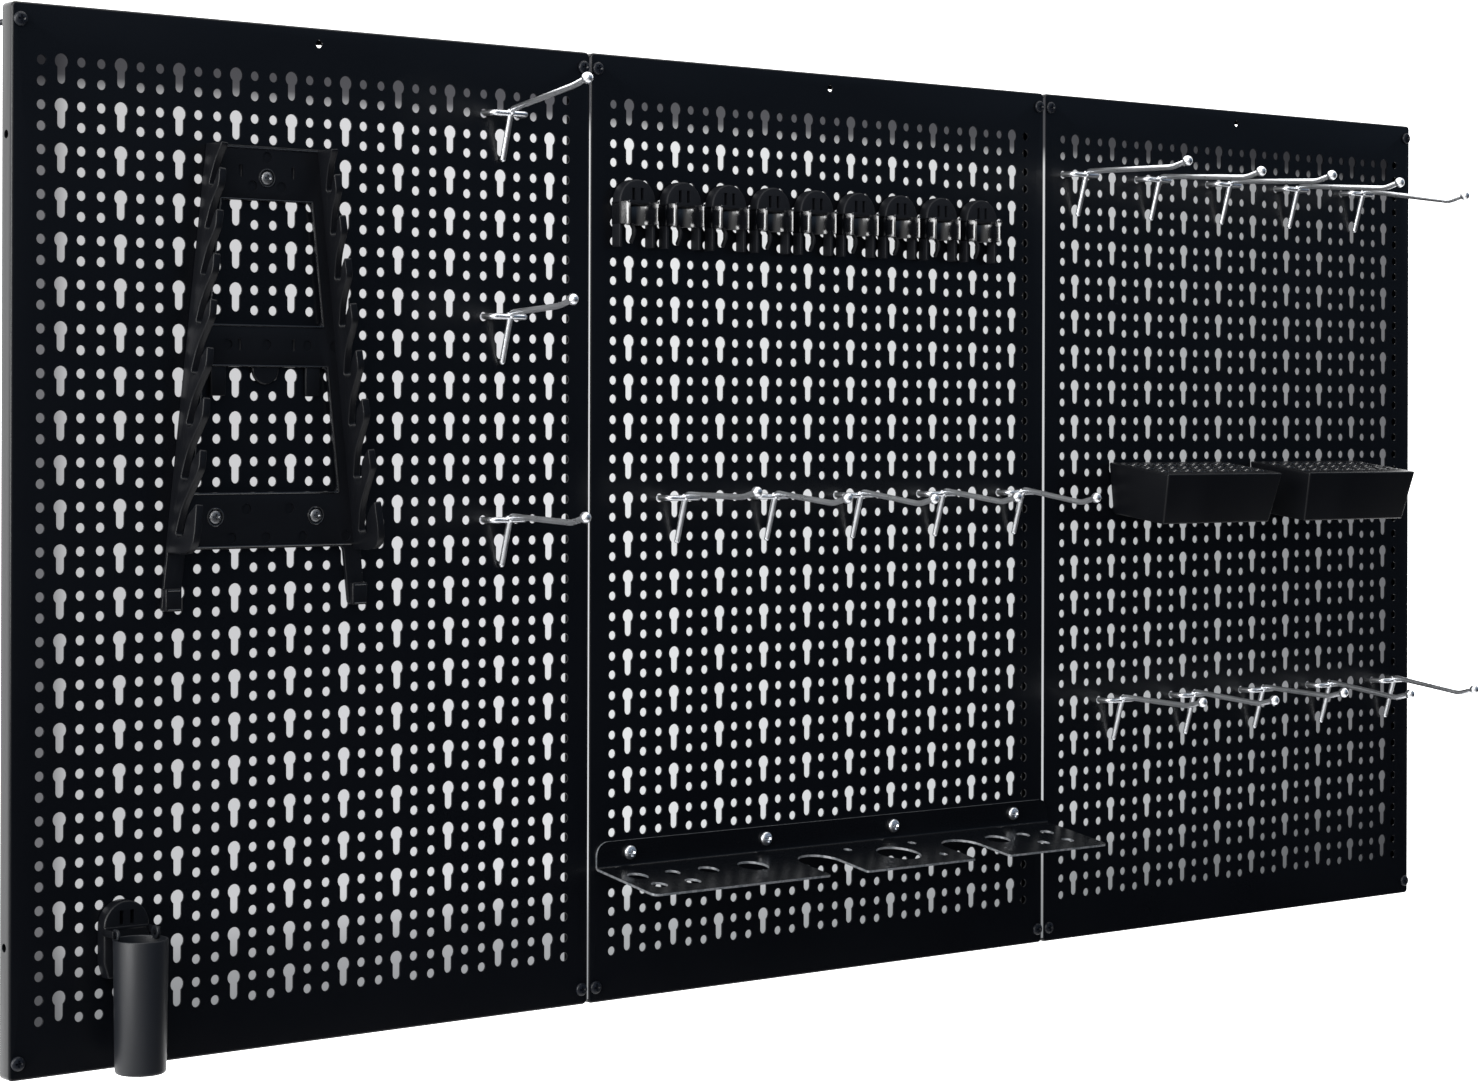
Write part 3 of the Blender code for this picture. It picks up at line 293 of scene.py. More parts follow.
def sheared_edge(name):
    """The thin paint on a punched edge, where the steel greys through."""
    recipe = Recipe(name)
    worn = recipe.noise(260.0, 4.0)
    bare = recipe.ramp(worn, (0.40, (0.0, 0.0, 0.0)), (0.62, (1.0, 1.0, 1.0)))
    inputs = {
        "Base Color": recipe.tint(bare, (0.10, 0.11, 0.12), (0.42, 0.43, 0.45)),
        "Roughness": 0.42 - bare * 0.12,
        "Metallic": bare * 0.6 + 0.2,
    }
    return recipe.surface(inputs, worn, 0.00003)


FINISHES = {}


def finish(name):
    """The material of that name, made once from the properties."""
    if name in FINISHES:
        return FINISHES[name]
    scene = bpy.context.scene
    panel, wires, plastic, shelf = scene.wall_panels, scene.wall_wires, scene.wall_plastics, scene.wall_shelf
    makers = {
        "black_powder_coat": lambda: powder_coat("black_powder_coat_look", panel.colour, panel.gloss),
        "shelf_steel": lambda: powder_coat("shelf_paint_look", shelf.colour, shelf.gloss),
        "bright_zinc": lambda: zinc_plate("bright_zinc_look", wires.colour, wires.gloss),
        "dull_zinc": lambda: zinc_plate("dull_zinc_look", scaled(wires.colour, 0.24), 0.42),
        "black_screw": lambda: powder_coat("black_screw_look", scaled(panel.colour, 3.0), 0.34),
        "black_plastic": lambda: moulded_plastic("black_plastic_look", plastic.colour, plastic.gloss),
        "gloss_plastic": lambda: moulded_plastic("gloss_plastic_look", plastic.colour, 0.17, 0.000004, 1.0),
        "matt_plastic": lambda: moulded_plastic("matt_plastic_look", scaled(plastic.colour, 1.6), 0.55,
                                                0.00005),
        "cup_plastic": lambda: moulded_plastic("cup_plastic_look", plastic.cup, plastic.cup_gloss,
                                               0.00004, 0.34),
        "sheared_edge": lambda: sheared_edge("sheared_edge_look"),
    }
    FINISHES[name] = makers[name]()
    return FINISHES[name]


# ---- Mesh tools ---------------------------------------------------------------------------------

WELD = 0.000003
SKIN_WELD = 0.000005
UPRIGHT = Matrix.Rotation(math.radians(90), 4, "X")


def arc(centre, radius, start, end, steps):
    """Points along an arc, in degrees."""
    angles = [math.radians(start + (end - start) * i / steps) for i in range(steps + 1)]
    return [(centre[0] + radius * math.cos(a), centre[1] + radius * math.sin(a)) for a in angles]


def circle(centre, radius, sides):
    return arc(centre, radius, 0, 360, sides)[:-1]


def softened(points, radius, steps=5, closed=False):
    """A path whose corners are eased into short curves."""
    points = [Vector(p) for p in points]
    path = [] if closed else [points[0]]
    last = len(points)
    for i in range(0 if closed else 1, last if closed else last - 1):
        before, corner, after = points[i - 1], points[i], points[(i + 1) % last]
        ways = [side - corner for side in (before, after)]
        ends = [corner + way * min(0.48, radius / way.length) for way in ways]
        for k in range(steps + 1):
            t = k / steps
            path.append(ends[0] * (1 - t) ** 2 + corner * 2 * t * (1 - t) + ends[1] * t ** 2)
    return path if closed else path + [points[-1]]


def add_faces(bm, points, faces, slot=0):
    verts = [bm.verts.new(p) for p in points]
    for face in faces:
        bm.faces.new([verts[i] for i in face]).material_index = slot


def add_solid(bm, extra, matrix=Matrix.Identity(4), slot=None):
    """Move the second bmesh into the first, welded, with all of it in one slot if one is given."""
    bmesh.ops.remove_doubles(extra, verts=extra.verts, dist=WELD)
    bmesh.ops.transform(extra, matrix=matrix, verts=extra.verts)
    bmesh.ops.recalc_face_normals(extra, faces=extra.faces)
    extra.verts.index_update()
    verts = [bm.verts.new(v.co) for v in extra.verts]
    for face in extra.faces:
        made = bm.faces.new([verts[v.index] for v in face.verts])
        made.material_index = face.material_index if slot is None else slot
    extra.free()


def add_tube(bm, points, radius, sides=14, slot=0):
    """A round bar along a path, with flat ends."""
    points = [Vector(p) for p in points]
    across, verts = None, []
    for i, point in enumerate(points):
        along = (points[min(i + 1, len(points) - 1)] - points[max(i - 1, 0)]).normalized()
        across = along.orthogonal() if across is None else across - along * across.dot(along)
        across.normalize()
        third = along.cross(across)
        for k in range(sides):
            angle = 2 * math.pi * k / sides
            verts.append(point + radius * (math.cos(angle) * across + math.sin(angle) * third))
    faces = [(i * sides + k, i * sides + (k + 1) % sides,
              (i + 1) * sides + (k + 1) % sides, (i + 1) * sides + k)
             for i in range(len(points) - 1) for k in range(sides)]
    faces += [tuple(reversed(range(sides))), tuple(range(len(verts) - sides, len(verts)))]
    add_faces(bm, verts, faces, slot)


def add_ball(bm, centre, radius, slot=0):
    made = bmesh.ops.create_uvsphere(bm, u_segments=20, v_segments=12, radius=radius,
                                     matrix=Matrix.Translation(centre))
    for face in {f for v in made["verts"] for f in v.link_faces}:
        face.material_index = slot


def add_turned(bm, profile, sides, matrix, slot=0):
    """A solid of revolution about Z: the profile runs from the axis round to the axis, or closes."""
    closed = profile[0] == profile[-1]
    rings = profile[:-1] if closed else profile
    verts, starts = [], []
    for radius, height in rings:
        starts.append(len(verts))
        if radius == 0.0:
            verts.append(matrix @ Vector((0, 0, height)))
        else:
            for k in range(sides):
                angle = 2 * math.pi * k / sides
                verts.append(matrix @ Vector((radius * math.cos(angle), radius * math.sin(angle), height)))
    pairs = list(zip(range(len(rings) - 1), range(1, len(rings))))
    if closed:
        pairs.append((len(rings) - 1, 0))
    faces = []
    for a, b in pairs:
        for k in range(sides):
            ring_a = [starts[a] + k, starts[a] + (k + 1) % sides] if rings[a][0] else [starts[a]]
            ring_b = [starts[b] + (k + 1) % sides, starts[b] + k] if rings[b][0] else [starts[b]]
            faces.append(ring_a + ring_b)
    add_faces(bm, verts, faces, slot)


def add_plate(bm, outline, thickness, edge, matrix, holes=(), slot=0):
    """A flat piece with rounded edges from an outline in its own XY plane."""
    curve = bpy.data.curves.new("plate", "CURVE")
    curve.dimensions = "2D"
    curve.fill_mode = "BOTH"
    curve.extrude = thickness / 2 - edge
    curve.bevel_depth = edge
    curve.bevel_resolution = 2
    curve.offset = -edge
    for points, wanted in [(outline, 1)] + [(hole, -1) for hole in holes]:
        spline = curve.splines.new("POLY")
        points = [tuple(p)[:2] for p in points]
        area = sum(a[0] * b[1] - b[0] * a[1] for a, b in zip(points, points[1:] + points[:1]))
        points = points if area * wanted > 0 else points[::-1]
        spline.points.add(len(points) - 1)
        for target, point in zip(spline.points, points):
            target.co = (*point, 0.0, 1.0)
        spline.use_cyclic_u = True
    obj = bpy.data.objects.new("plate", curve)
    bpy.context.scene.collection.objects.link(obj)
    graph = bpy.context.evaluated_depsgraph_get()
    mesh = bpy.data.meshes.new_from_object(obj.evaluated_get(graph))
    bpy.data.objects.remove(obj, do_unlink=True)
    plate = bmesh.new()
    plate.from_mesh(mesh)
    add_solid(bm, plate, matrix, slot)


def add_block(bm, low, high, edge, slot=0, matrix=Matrix.Identity(4)):
    """A box with rounded edges."""
    low, high = Vector(low), Vector(high)
    block = bmesh.new()
    place = Matrix.Translation((low + high) / 2) @ Matrix.Diagonal((*(high - low), 1.0))
    bmesh.ops.create_cube(block, size=1.0, matrix=place)
    bmesh.ops.bevel(block, geom=list(block.edges), offset=edge, segments=3, profile=0.5, affect="EDGES")
    add_solid(bm, block, matrix, slot)


def as_object(bm, name="work"):
    mesh = bpy.data.meshes.new(name)
    bm.to_mesh(mesh)
    bm.free()
    obj = bpy.data.objects.new(name, mesh)
    bpy.context.scene.collection.objects.link(obj)
    return obj


def applied(obj):
    """The object with its modifiers applied."""
    graph = bpy.context.evaluated_depsgraph_get()
    mesh = bpy.data.meshes.new_from_object(obj.evaluated_get(graph))
    obj.modifiers.clear()
    obj.data = mesh
    return obj


def carved(bm, cutter):
    """What is left of the first solid when the second is taken away from it."""
    base, tool = as_object(bm), as_object(cutter)
    step = base.modifiers.new("Cut", "BOOLEAN")
    step.operation, step.solver, step.object = "DIFFERENCE", "EXACT", tool
    applied(base)
    result = bmesh.new()
    result.from_mesh(base.data)
    for obj in (base, tool):
        bpy.data.objects.remove(obj, do_unlink=True)
    return result


def piece(bm, name, finishes, angle=35):
    """A smooth-shaded object from the bmesh, with these finishes in its slots."""
    obj = as_object(bm, name)
    obj.data.shade_smooth()
    obj.data.set_sharp_from_angle(angle=math.radians(angle))
    for one in finishes:
        obj.data.materials.append(finish(one))
    return obj


def stand_for(obj, node):
    """Put the piece in place of a CAD node, on that node's body."""
    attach(obj, BODIES[node])
    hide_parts(node)
    return obj


def repeated(bm, nodes, places, finishes, angle=35):
    """The shape as a piece at every place, all of them sharing one mesh."""
    source = piece(bm, f"{nodes[0]}_look", finishes, angle)
    for node, place in zip(nodes, places):
        obj = source
        if node != nodes[0]:
            obj = bpy.data.objects.new(f"{node}_look", source.data)
            bpy.context.scene.collection.objects.link(obj)
        obj.location = place
        stand_for(obj, node)


def folded_sheet(bm, name, thickness, finishes, node):
    """A piece of sheet metal round its middle surface; a second finish goes on its cut edges."""
    obj = as_object(bm, name)
    solid = obj.modifiers.new("Sheet", "SOLIDIFY")
    solid.thickness, solid.offset, solid.use_even_offset = thickness, 0.0, True
    solid.material_offset_rim = len(finishes) - 1
    for one in finishes:
        obj.data.materials.append(finish(one))
    applied(obj)
    obj.data.shade_smooth()
    obj.data.set_sharp_from_angle(angle=math.radians(35))
    stand_for(obj, node)


# ---- Panels -------------------------------------------------------------------------------------

FLANGE_HOLE = 0.0025
FLANGE_HOLE_INSET = 0.075
WALL_HOLE = 0.0022
TOP_HOLE = 0.0024
TOP_HOLE_INSET = 0.0098
PANEL_CORNER = 0.0030


def column_x(side, column):
    return middle(f"panel_{side}")[0] + (column - (COLUMNS - 1) / 2) * COLUMN_PITCH


def row_z(row):
    low, high = BOXES["panel_centre"]
    margin = (high.z - low.z - (ROW_PAIRS - 1) * PAIR_PITCH - PAIR_GAP) / 2
    return high.z - margin - (row // 2) * PAIR_PITCH - (row % 2) * PAIR_GAP


def keyhole_outline(head, width):
    half = width / 2
    spread = math.degrees(math.asin(half / head))
    outline = arc((0, 0), head, -90 + spread, 270 - spread, 13)
    return outline + arc((0, -KEY_DROP), half, 180, 360, 6)


def turned_left(loop):
    """The loop's plan points in anticlockwise order."""
    loop = [tuple(p)[:2] for p in loop]
    area = sum(a[0] * b[1] - b[0] * a[1] for a, b in zip(loop, loop[1:] + loop[:1]))
    return loop if area > 0 else loop[::-1]


def filled(outline, holes, lift):
    """Points and triangles of a flat area with holes; lift turns plan points into space."""
    loops, points = [], []
    for loop in (outline, *holes):
        loop = turned_left(loop)
        loops.append(list(range(len(points), len(points) + len(loop))))
        points += [Vector(p) for p in loop]
    points, _, faces, _, _, owners = geometry.delaunay_2d_cdt(points, [], loops, 1, 0.0000001)
    kept = [face for face, owner in zip(faces, owners) if list(owner) == [0]]
    return [lift(p.x, p.y) for p in points], kept


def grid_cells(side, sizes):
    """Every hole's own rectangle of sheet: points in x and z, and triangles."""
    half, above = COLUMN_PITCH / 2, (PAIR_PITCH - PAIR_GAP) / 2
    below = PAIR_GAP / 2
    hole = circle((0, 0), sizes.round_hole, 14)
    upper = [(-half, above), (-half, -below), (half, -below), (half, above)]
    lower = [(-half, below), (-half, -above), (half, -above), (half, below)]
    foot = above - PAIR_PITCH
    tall = [(-half, above), (-half, -below), (-half, foot), (half, foot), (half, -below), (half, above)]
    key = keyhole_outline(sizes.key_head, sizes.key_slot)
    for column in range(COLUMNS):
        x = column_x(side, column)
        for pair in range(ROW_PAIRS):
            high, low = row_z(2 * pair), row_z(2 * pair + 1)
            shapes = [(high, tall, key)] if column % 3 == 1 else [(high, upper, hole), (low, lower, hole)]
            for z, outline, inner in shapes:
                yield filled(outline, [inner], lambda u, v, x=x, z=z: (x + u, z + v))


def frame_loop(side, inset, corner, steps=4):
    """A rectangle round the panel, a little inside its edge, with small round corners: x and z."""
    low, high = BOXES[f"panel_{side}"]
    x0, x1, z0, z1 = low.x + inset, high.x - inset, low.z + inset, high.z - inset
    points = []
    for cx, cz, start in ((x1, z1, 0), (x0, z1, 90), (x0, z0, 180), (x1, z0, 270)):
        towards_x = -corner if cx == x1 else corner
        towards_z = -corner if cz == z1 else corner
        points += arc((cx + towards_x, cz + towards_z), corner, start, start + 90, steps)
    return points


def margin_holes(side):
    """The wall screws' holes and the small hole at the middle of the upper edge: x and z."""
    holes = []
    for corner in ("top_left", "top_right", "low_left", "low_right"):
        x, _, z = middle(f"wall_screw_{side}_{corner}")
        holes.append(circle((x, z), WALL_HOLE, 12))
    holes.append(circle((middle(f"panel_{side}")[0], TOP - TOP_HOLE_INSET), TOP_HOLE, 16))
    return holes


def grid_border(side):
    """The outline of the hole grid's area, with a point at every cell's corner: x and z."""
    half, above, below = COLUMN_PITCH / 2, (PAIR_PITCH - PAIR_GAP) / 2, PAIR_GAP / 2
    left, right = column_x(side, 0) - half, column_x(side, COLUMNS - 1) + half
    across = [column_x(side, c) - half for c in range(COLUMNS)] + [right]
    levels = [row_z(0) + above]
    for pair in range(ROW_PAIRS):
        levels += [row_z(2 * pair) - below, row_z(2 * pair) + above - PAIR_PITCH]
    border = [(x, levels[0]) for x in across]
    border += [(right, z) for z in levels[1:]]
    border += [(x, levels[-1]) for x in reversed(across[:-1])]
    border += [(left, z) for z in reversed(levels[1:-1])]
    return border


def tray_profile(sizes):
    """Inset and depth of the folded edge from the front sheet round to the return lip's rim."""
    half, bend, steps = sizes.sheet / 2, sizes.fold, 4
    radius = bend - half
    profile = []
    for i in range(steps + 1):
        angle = math.radians(90 * i / steps)
        profile.append((bend - radius * math.sin(angle), FACE + bend - radius * math.cos(angle)))
    for i in range(steps + 1):
        angle = math.radians(90 * i / steps)
        profile.append((bend - radius * math.cos(angle), -bend + radius * math.sin(angle)))
    profile.append((sizes.lip, -half))
    return profile, steps


def flange_side(bm, x, front, back):
    """A side flange between its two folds, with its two joining holes; front and back are its edges."""
    depth = FACE / 2
    top, foot = max(front[0].z, front[1].z), min(front[0].z, front[1].z)
    edge = [(front[0].y, top), (back[0].y, top), (back[0].y, foot), (front[0].y, foot)]
    low, high = BOXES["panel_centre"]
    levels = (high.z - FLANGE_HOLE_INSET, low.z + FLANGE_HOLE_INSET)
    holes = [circle((depth, z), FLANGE_HOLE, 16) for z in levels]
    points, faces = filled(edge, holes, lambda y, z: (x, y, z))
    add_faces(bm, points, faces)


def panel_skin(side, sizes):
    """The middle surface of the folded and punched sheet."""
    bm = bmesh.new()
    front = FACE + sizes.sheet / 2
    for points, faces in grid_cells(side, sizes):
        add_faces(bm, [(x, front, z) for x, z in points], faces)
    profile, steps = tray_profile(sizes)
    loops = []
    for inset, y in profile:
        corner = max(PANEL_CORNER - inset, 0.0004)
        loops.append([Vector((x, y, z)) for x, z in frame_loop(side, inset, corner)])
    edge = [(p.x, p.z) for p in loops[0]]
    points, faces = filled(edge, [grid_border(side), *margin_holes(side)], lambda x, z: (x, front, z))
    add_faces(bm, points, faces)
    count, arc_points = len(loops[0]), 5
    for number, (a, b) in enumerate(zip(loops, loops[1:])):
        for k in range(count):
            after = (k + 1) % count
            straight_side = number == steps and k % arc_points == arc_points - 1 and (k // arc_points) % 2
            if straight_side:
                flange_side(bm, a[k].x, (a[k], a[after]), (b[k], b[after]))
            else:
                add_faces(bm, [a[k], a[after], b[after], b[k]], [(0, 1, 2, 3)])
    bmesh.ops.remove_doubles(bm, verts=bm.verts, dist=SKIN_WELD)
    bmesh.ops.recalc_face_normals(bm, faces=bm.faces)
    return bm


class WALL_OT_panels(bpy.types.Operator):
    """Build the three folded and punched steel panels"""
    bl_idname = "wall.panels"
    bl_label = "Panels"

    def execute(self, context):
        sizes = context.scene.wall_panels
        for side in PANELS:
            folded_sheet(panel_skin(side, sizes), f"punched_panel_{side}", sizes.sheet,
                         ["black_powder_coat"], f"panel_{side}")
        return {"FINISHED"}


# ---- Screws -------------------------------------------------------------------------------------

# Head radius, shank radius, length below the head, and head height
WALL_SCREW = (0.0042, 0.0019, 0.0360, 0.0024)
RACK_SCREW = (0.0040, 0.0017, 0.0095, 0.0022)
SHELF_SCREW = (0.0046, 0.0022, 0.0100, 0.0030)


def screw_mesh(head, shank, length, height, thread=0.0014):
    """A pan-head screw with a cross recess and a thread: its seat at the origin, its shank along +Y."""
    bm = bmesh.new()
    dome = [(head * math.cos(math.radians(a)), height * (0.35 + 0.65 * math.sin(math.radians(a))))
            for a in range(0, 90, 15)]
    profile = [(0.0, height)] + dome[::-1] + [(head, 0.0), (shank, 0.0)]
    turns = int((length - shank - 0.0012) / thread)
    for i in range(turns):
        down = -0.001 - i * thread
        profile += [(shank * 0.80, down), (shank, down - thread * 0.45), (shank * 0.80, down - thread * 0.9)]
    profile += [(shank * 0.8, -length + shank), (0.0, -length)]
    add_turned(bm, profile, 20, Matrix.Identity(4))
    arm, width = head * 0.62, head * 0.17
    quarter = [(width, width), (width, arm), (-width, arm)]
    cross = []
    for turn in range(4):
        quarter_turn = Matrix.Rotation(math.radians(90 * turn), 2)
        cross += [tuple(quarter_turn @ Vector(point)) for point in quarter]
    levels = ((height * 0.45, 0.6), (height * 1.2, 1.1))
    points = [(x * grow, y * grow, z) for z, grow in levels for x, y in cross]
    count = len(cross)
    faces = [(i, (i + 1) % count, count + (i + 1) % count, count + i) for i in range(count)]
    recess = bmesh.new()
    add_faces(recess, points, faces + [tuple(reversed(range(count))), tuple(range(count, 2 * count))])
    bmesh.ops.recalc_face_normals(recess, faces=recess.faces)
    bmesh.ops.recalc_face_normals(bm, faces=bm.faces)
    bm = carved(bm, recess)
    bmesh.ops.transform(bm, matrix=UPRIGHT, verts=bm.verts)
    return bm


def screw_seat(node, head_height=0):
    """Where the screw's head sits: the middle of its CAD node, and the back of its head."""
    x, _, z = middle(node)
    return (x, BOXES[node][0].y + head_height, z)


def screws(nodes, sizes, slot, look=None):
    """A screw for every node, in the slot's own finish unless another is given."""
    seats = [screw_seat(node, sizes[3]) for node in nodes]
    repeated(screw_mesh(*sizes), nodes, seats, [look or slot], 30)


class WALL_OT_wall_screws(bpy.types.Operator):
    """Build the black wall screws in the panels' corners"""
    bl_idname = "wall.wall_screws"
    bl_label = "Wall screws"

    def execute(self, context):
        nodes = sorted(n for n in FRAME["nodes"] if n.startswith("wall_screw_"))
        screws(nodes, WALL_SCREW, "black_screw")
        return {"FINISHED"}


# ---- Hooks --------------------------------------------------------------------------------------

# Each arm's slope in degrees, as it hangs
HOOK_RISES = {
    "hook_left_a": 8.6, "hook_left_b": 3.4, "hook_left_c": -2.3,
    "hook_centre_1": -0.8, "hook_centre_2": -5.6, "hook_centre_3": -7.0, "hook_centre_4": -6.7,
    "hook_centre_5": -8.1,
    "hook_right_top_1": -1.2, "hook_right_top_2": -3.6, "hook_right_top_3": -3.0,
    "hook_right_top_4": -4.1, "hook_right_top_5": -8.4,
    "hook_right_low_1": -2.1, "hook_right_low_2": -4.3, "hook_right_low_3": -2.8,
    "hook_right_low_4": -7.1, "hook_right_low_5": -7.3,
}
# The prong ends behind the sheet: how far back, and how far up
HOOK_STUB = (0.0052, 0.0068)
# The arm: its height over the prongs, its start, and its tip's length and rise
HOOK_ARM = (0.0024, 0.0115, 0.0140, 0.0036)
HOOK_FOOT_RISE = 0.0014


def hook_shape(axis, reach, rise, sizes):
    """Fork, arm, leg and ball. The axis is the line of the two prongs, in the sheet's middle."""
    bm = bmesh.new()
    x, face, z = axis.x, FACE, axis.z
    back, stub_rise = HOOK_STUB
    offset, start, tip_length, tip_rise = HOOK_ARM
    cross = face - sizes.crossbar
    span = COLUMN_PITCH
    fork = [(x - span, axis.y + back, z + stub_rise), (x - span, axis.y + back, z), (x - span, cross, z),
            (x + span, cross, z), (x + span, axis.y + back, z), (x + span, axis.y + back, z + stub_rise)]
    add_tube(bm, softened(fork, 0.0034, 6), sizes.wire)
    rear, bend_y = face - start, face - reach + tip_length
    bend_z = z + offset + math.tan(math.radians(rise)) * (rear - bend_y)
    tip = Vector((x, face - reach, bend_z + tip_rise))
    foot = (x, face - GAP - sizes.wire, z - sizes.leg + HOOK_FOOT_RISE)
    arm = [tip, (x, bend_y, bend_z), (x, rear, z + offset), foot]
    add_tube(bm, softened(arm, 0.0040, 7), sizes.wire)
    add_ball(bm, tip, sizes.ball)
    add_ball(bm, foot, sizes.wire)
    for side in (-1, 1):
        add_ball(bm, (x + side * sizes.wire * 0.7, cross - 0.0004, z + offset * 0.55), sizes.wire * 0.75)
    return bm


class WALL_OT_hooks(bpy.types.Operator):
    """Build the plated wire hooks"""
    bl_idname = "wall.hooks"
    bl_label = "Hooks"

    def execute(self, context):
        sizes = context.scene.wall_wires
        for node, rise in HOOK_RISES.items():
            axis = Vector(JOINTS[f"{node}_tilt"]["pos_m"])
            reach = FACE - BOXES[node][0].y - sizes.ball
            obj = piece(hook_shape(axis, reach, rise, sizes), f"{node}_look", ["bright_zinc"])
            stand_for(obj, node)
        return {"FINISHED"}


# ---- Moulded bases ------------------------------------------------------------------------------

BASE_HALF = 0.0145
BASE_DEPTH = 0.0090
BASE_ABOVE_HEAD = 0.0026
BASE_SLOT = {"across": 0.0034, "half": 0.0013, "depth": 0.0052, "low": 0.001, "high": 0.009}
STUD_ROOT = 0.0024
STUD_BUTTON = 0.0022
STUD_CHAMFER = 0.0005


def add_stud(bm, x, z, sizes, slot=0):
    """Neck and button of a holder's stud."""
    neck, button = sizes.key_slot / 2 - GAP, sizes.key_head - GAP
    start = sizes.sheet + GAP
    end = -start - STUD_BUTTON
    profile = [(0.0, STUD_ROOT), (neck, STUD_ROOT), (neck, -start), (button, -start),
               (button, end + STUD_CHAMFER), (button - STUD_CHAMFER, end), (0.0, end)]
    add_turned(bm, profile, 24, Matrix.Translation((x, FACE, z)) @ UPRIGHT, slot)


def add_arched_base(bm, x, head_z, bottom, foot_half, edge, slot=0):
    """A block with a round top and two upright recesses in its face."""
    half, front = BASE_HALF, FACE - GAP - BASE_DEPTH
    centre_z = head_z + BASE_ABOVE_HEAD - half
    waist = bottom + 0.3 * (centre_z - bottom)
    outline = arc((0, centre_z), half, 0, 180, 28)
    if foot_half < half:
        outline += [(-half, waist), (-foot_half, bottom), (foot_half, bottom), (half, waist)]
    else:
        outline += [(-half, bottom), (half, bottom)]
    block = bmesh.new()
    depth = FACE - GAP - BASE_DEPTH / 2
    add_plate(block, outline, BASE_DEPTH, edge * 1.5, Matrix.Translation((x, depth, 0)) @ UPRIGHT)
    slots = bmesh.new()
    for side in (-1, 1):
        mid, half_slot = x + side * BASE_SLOT["across"], BASE_SLOT["half"]
        add_block(slots, (mid - half_slot, front - 0.002, centre_z + BASE_SLOT["low"]),
                  (mid + half_slot, front + BASE_SLOT["depth"], centre_z + BASE_SLOT["high"]), 0.0004)
    add_solid(bm, carved(block, slots), slot=slot)


# ---- Spring clips -------------------------------------------------------------------------------

CLIP = {"band": 0.0148, "reach": 0.0152, "throat": 0.0096, "back": 0.0026, "skirt": 0.0145,
        "skirt_width": 0.0022, "toe": 0.0014}


def jaw_outline(front, half, throat, centre):
    """Plan of the jaws: rounded outer corners and two lips round an open throat."""
    lip = throat + 0.0006
    left = [(-half, -GAP), (-half, front + 0.0062), (-half + 0.0022, front + 0.0010), (-lip - 0.0010, front)]
    left = softened(left, 0.0016, 4)
    hollow = [Vector(p) for p in arc((0, centre), throat, 180, 0, 28)]
    right = [Vector((-p.x, p.y)) for p in reversed(left)]
    return left + hollow + right


def clip_shape(panel, edge):
    """A spring clip round its stud's axis, with the panel's face at FACE."""
    bm = bmesh.new()
    band_top = KEY_DROP + BASE_ABOVE_HEAD - BASE_HALF
    band_low = band_top - CLIP["band"]
    reach, throat, back = CLIP["reach"], CLIP["throat"], CLIP["back"]
    add_arched_base(bm, 0, KEY_DROP, band_top - 0.0016, BASE_HALF, edge, 1)
    outline = jaw_outline(-GAP - reach, BASE_HALF, throat, -(GAP + back + throat))
    place = Matrix.Translation((0, FACE, (band_top + band_low) / 2))
    add_plate(bm, outline, CLIP["band"], edge * 0.4, place, slot=0)
    front = FACE - GAP - BASE_DEPTH
    for side in (-1, 1):
        edges = sorted((side * BASE_HALF * 0.995, side * (BASE_HALF - CLIP["skirt_width"])))
        add_block(bm, (edges[0], front + 0.0005, band_low - CLIP["skirt"]),
                  (edges[1], FACE - GAP, band_low + 0.001), 0.0005, 1)
        lip = side * (throat + 0.0018)
        add_block(bm, (lip - 0.0008, FACE - GAP - reach - 0.0003, band_top - 0.0012),
                  (lip + 0.0008, FACE - GAP - reach + 0.0016, band_top + 0.0004), 0.0003, 0)
    start = FACE - GAP - back
    path = [(0, start + 0.0006, band_low + 0.0006), (0, start - 0.0030, band_low - 0.0040),
            (0, FACE - GAP - 0.0017, band_low - 0.0105)]
    add_tube(bm, softened(path, 0.002, 4), CLIP["toe"], 12, 1)
    add_ball(bm, path[-1], CLIP["toe"], 1)
    add_stud(bm, 0, 0, panel, 1)
    return bm


class WALL_OT_clips(bpy.types.Operator):
    """Build the spring clips"""
    bl_idname = "wall.clips"
    bl_label = "Spring clips"

    def execute(self, context):
        scene = context.scene
        nodes = [f"spring_clip_{number}" for number in range(1, 10)]
        places = [(middle(n)[0], 0, BOXES[n][1].z - KEY_DROP - BASE_ABOVE_HEAD) for n in nodes]
        shape = clip_shape(scene.wall_panels, scene.wall_plastics.edge)
        repeated(shape, nodes, places, ["gloss_plastic", "matt_plastic"])
        return {"FINISHED"}


# ---- Cup and hanger -----------------------------------------------------------------------------

CUP_WALL = 0.0015
CUP_RIM = 0.01575
CUP_TAPER = 0.00115
CUP_BELOW_PIVOT = 0.0019
CUP_FLOOR = 0.0020
CUP_FILLET = 0.003
CUP_FOOT_ROUND = 0.0018
CUP_FOOT_RECESS = 0.0006
LUG_WIDTH = 0.0018
LUG_RADIUS = 0.0040
PEG_RADIUS = 0.0014


def cup_facts():
    """Axis, rim, radii, height and the lugs' inner distance, from the cup's CAD node and its pivot."""
    low = BOXES["cup"][0]
    pivot = Vector(JOINTS["cup_swing"]["pos_m"])
    rim = pivot.z - CUP_BELOW_PIVOT
    radius = CUP_RIM
    axis = Vector((pivot.x, FACE - GAP - BASE_DEPTH - GAP - radius, rim))
    behind = axis.y - pivot.y
    wall_x = math.sqrt((radius - CUP_WALL) ** 2 - behind ** 2)
    return axis, radius, radius - CUP_TAPER, rim - low.z, pivot, wall_x + 0.0006 - LUG_WIDTH


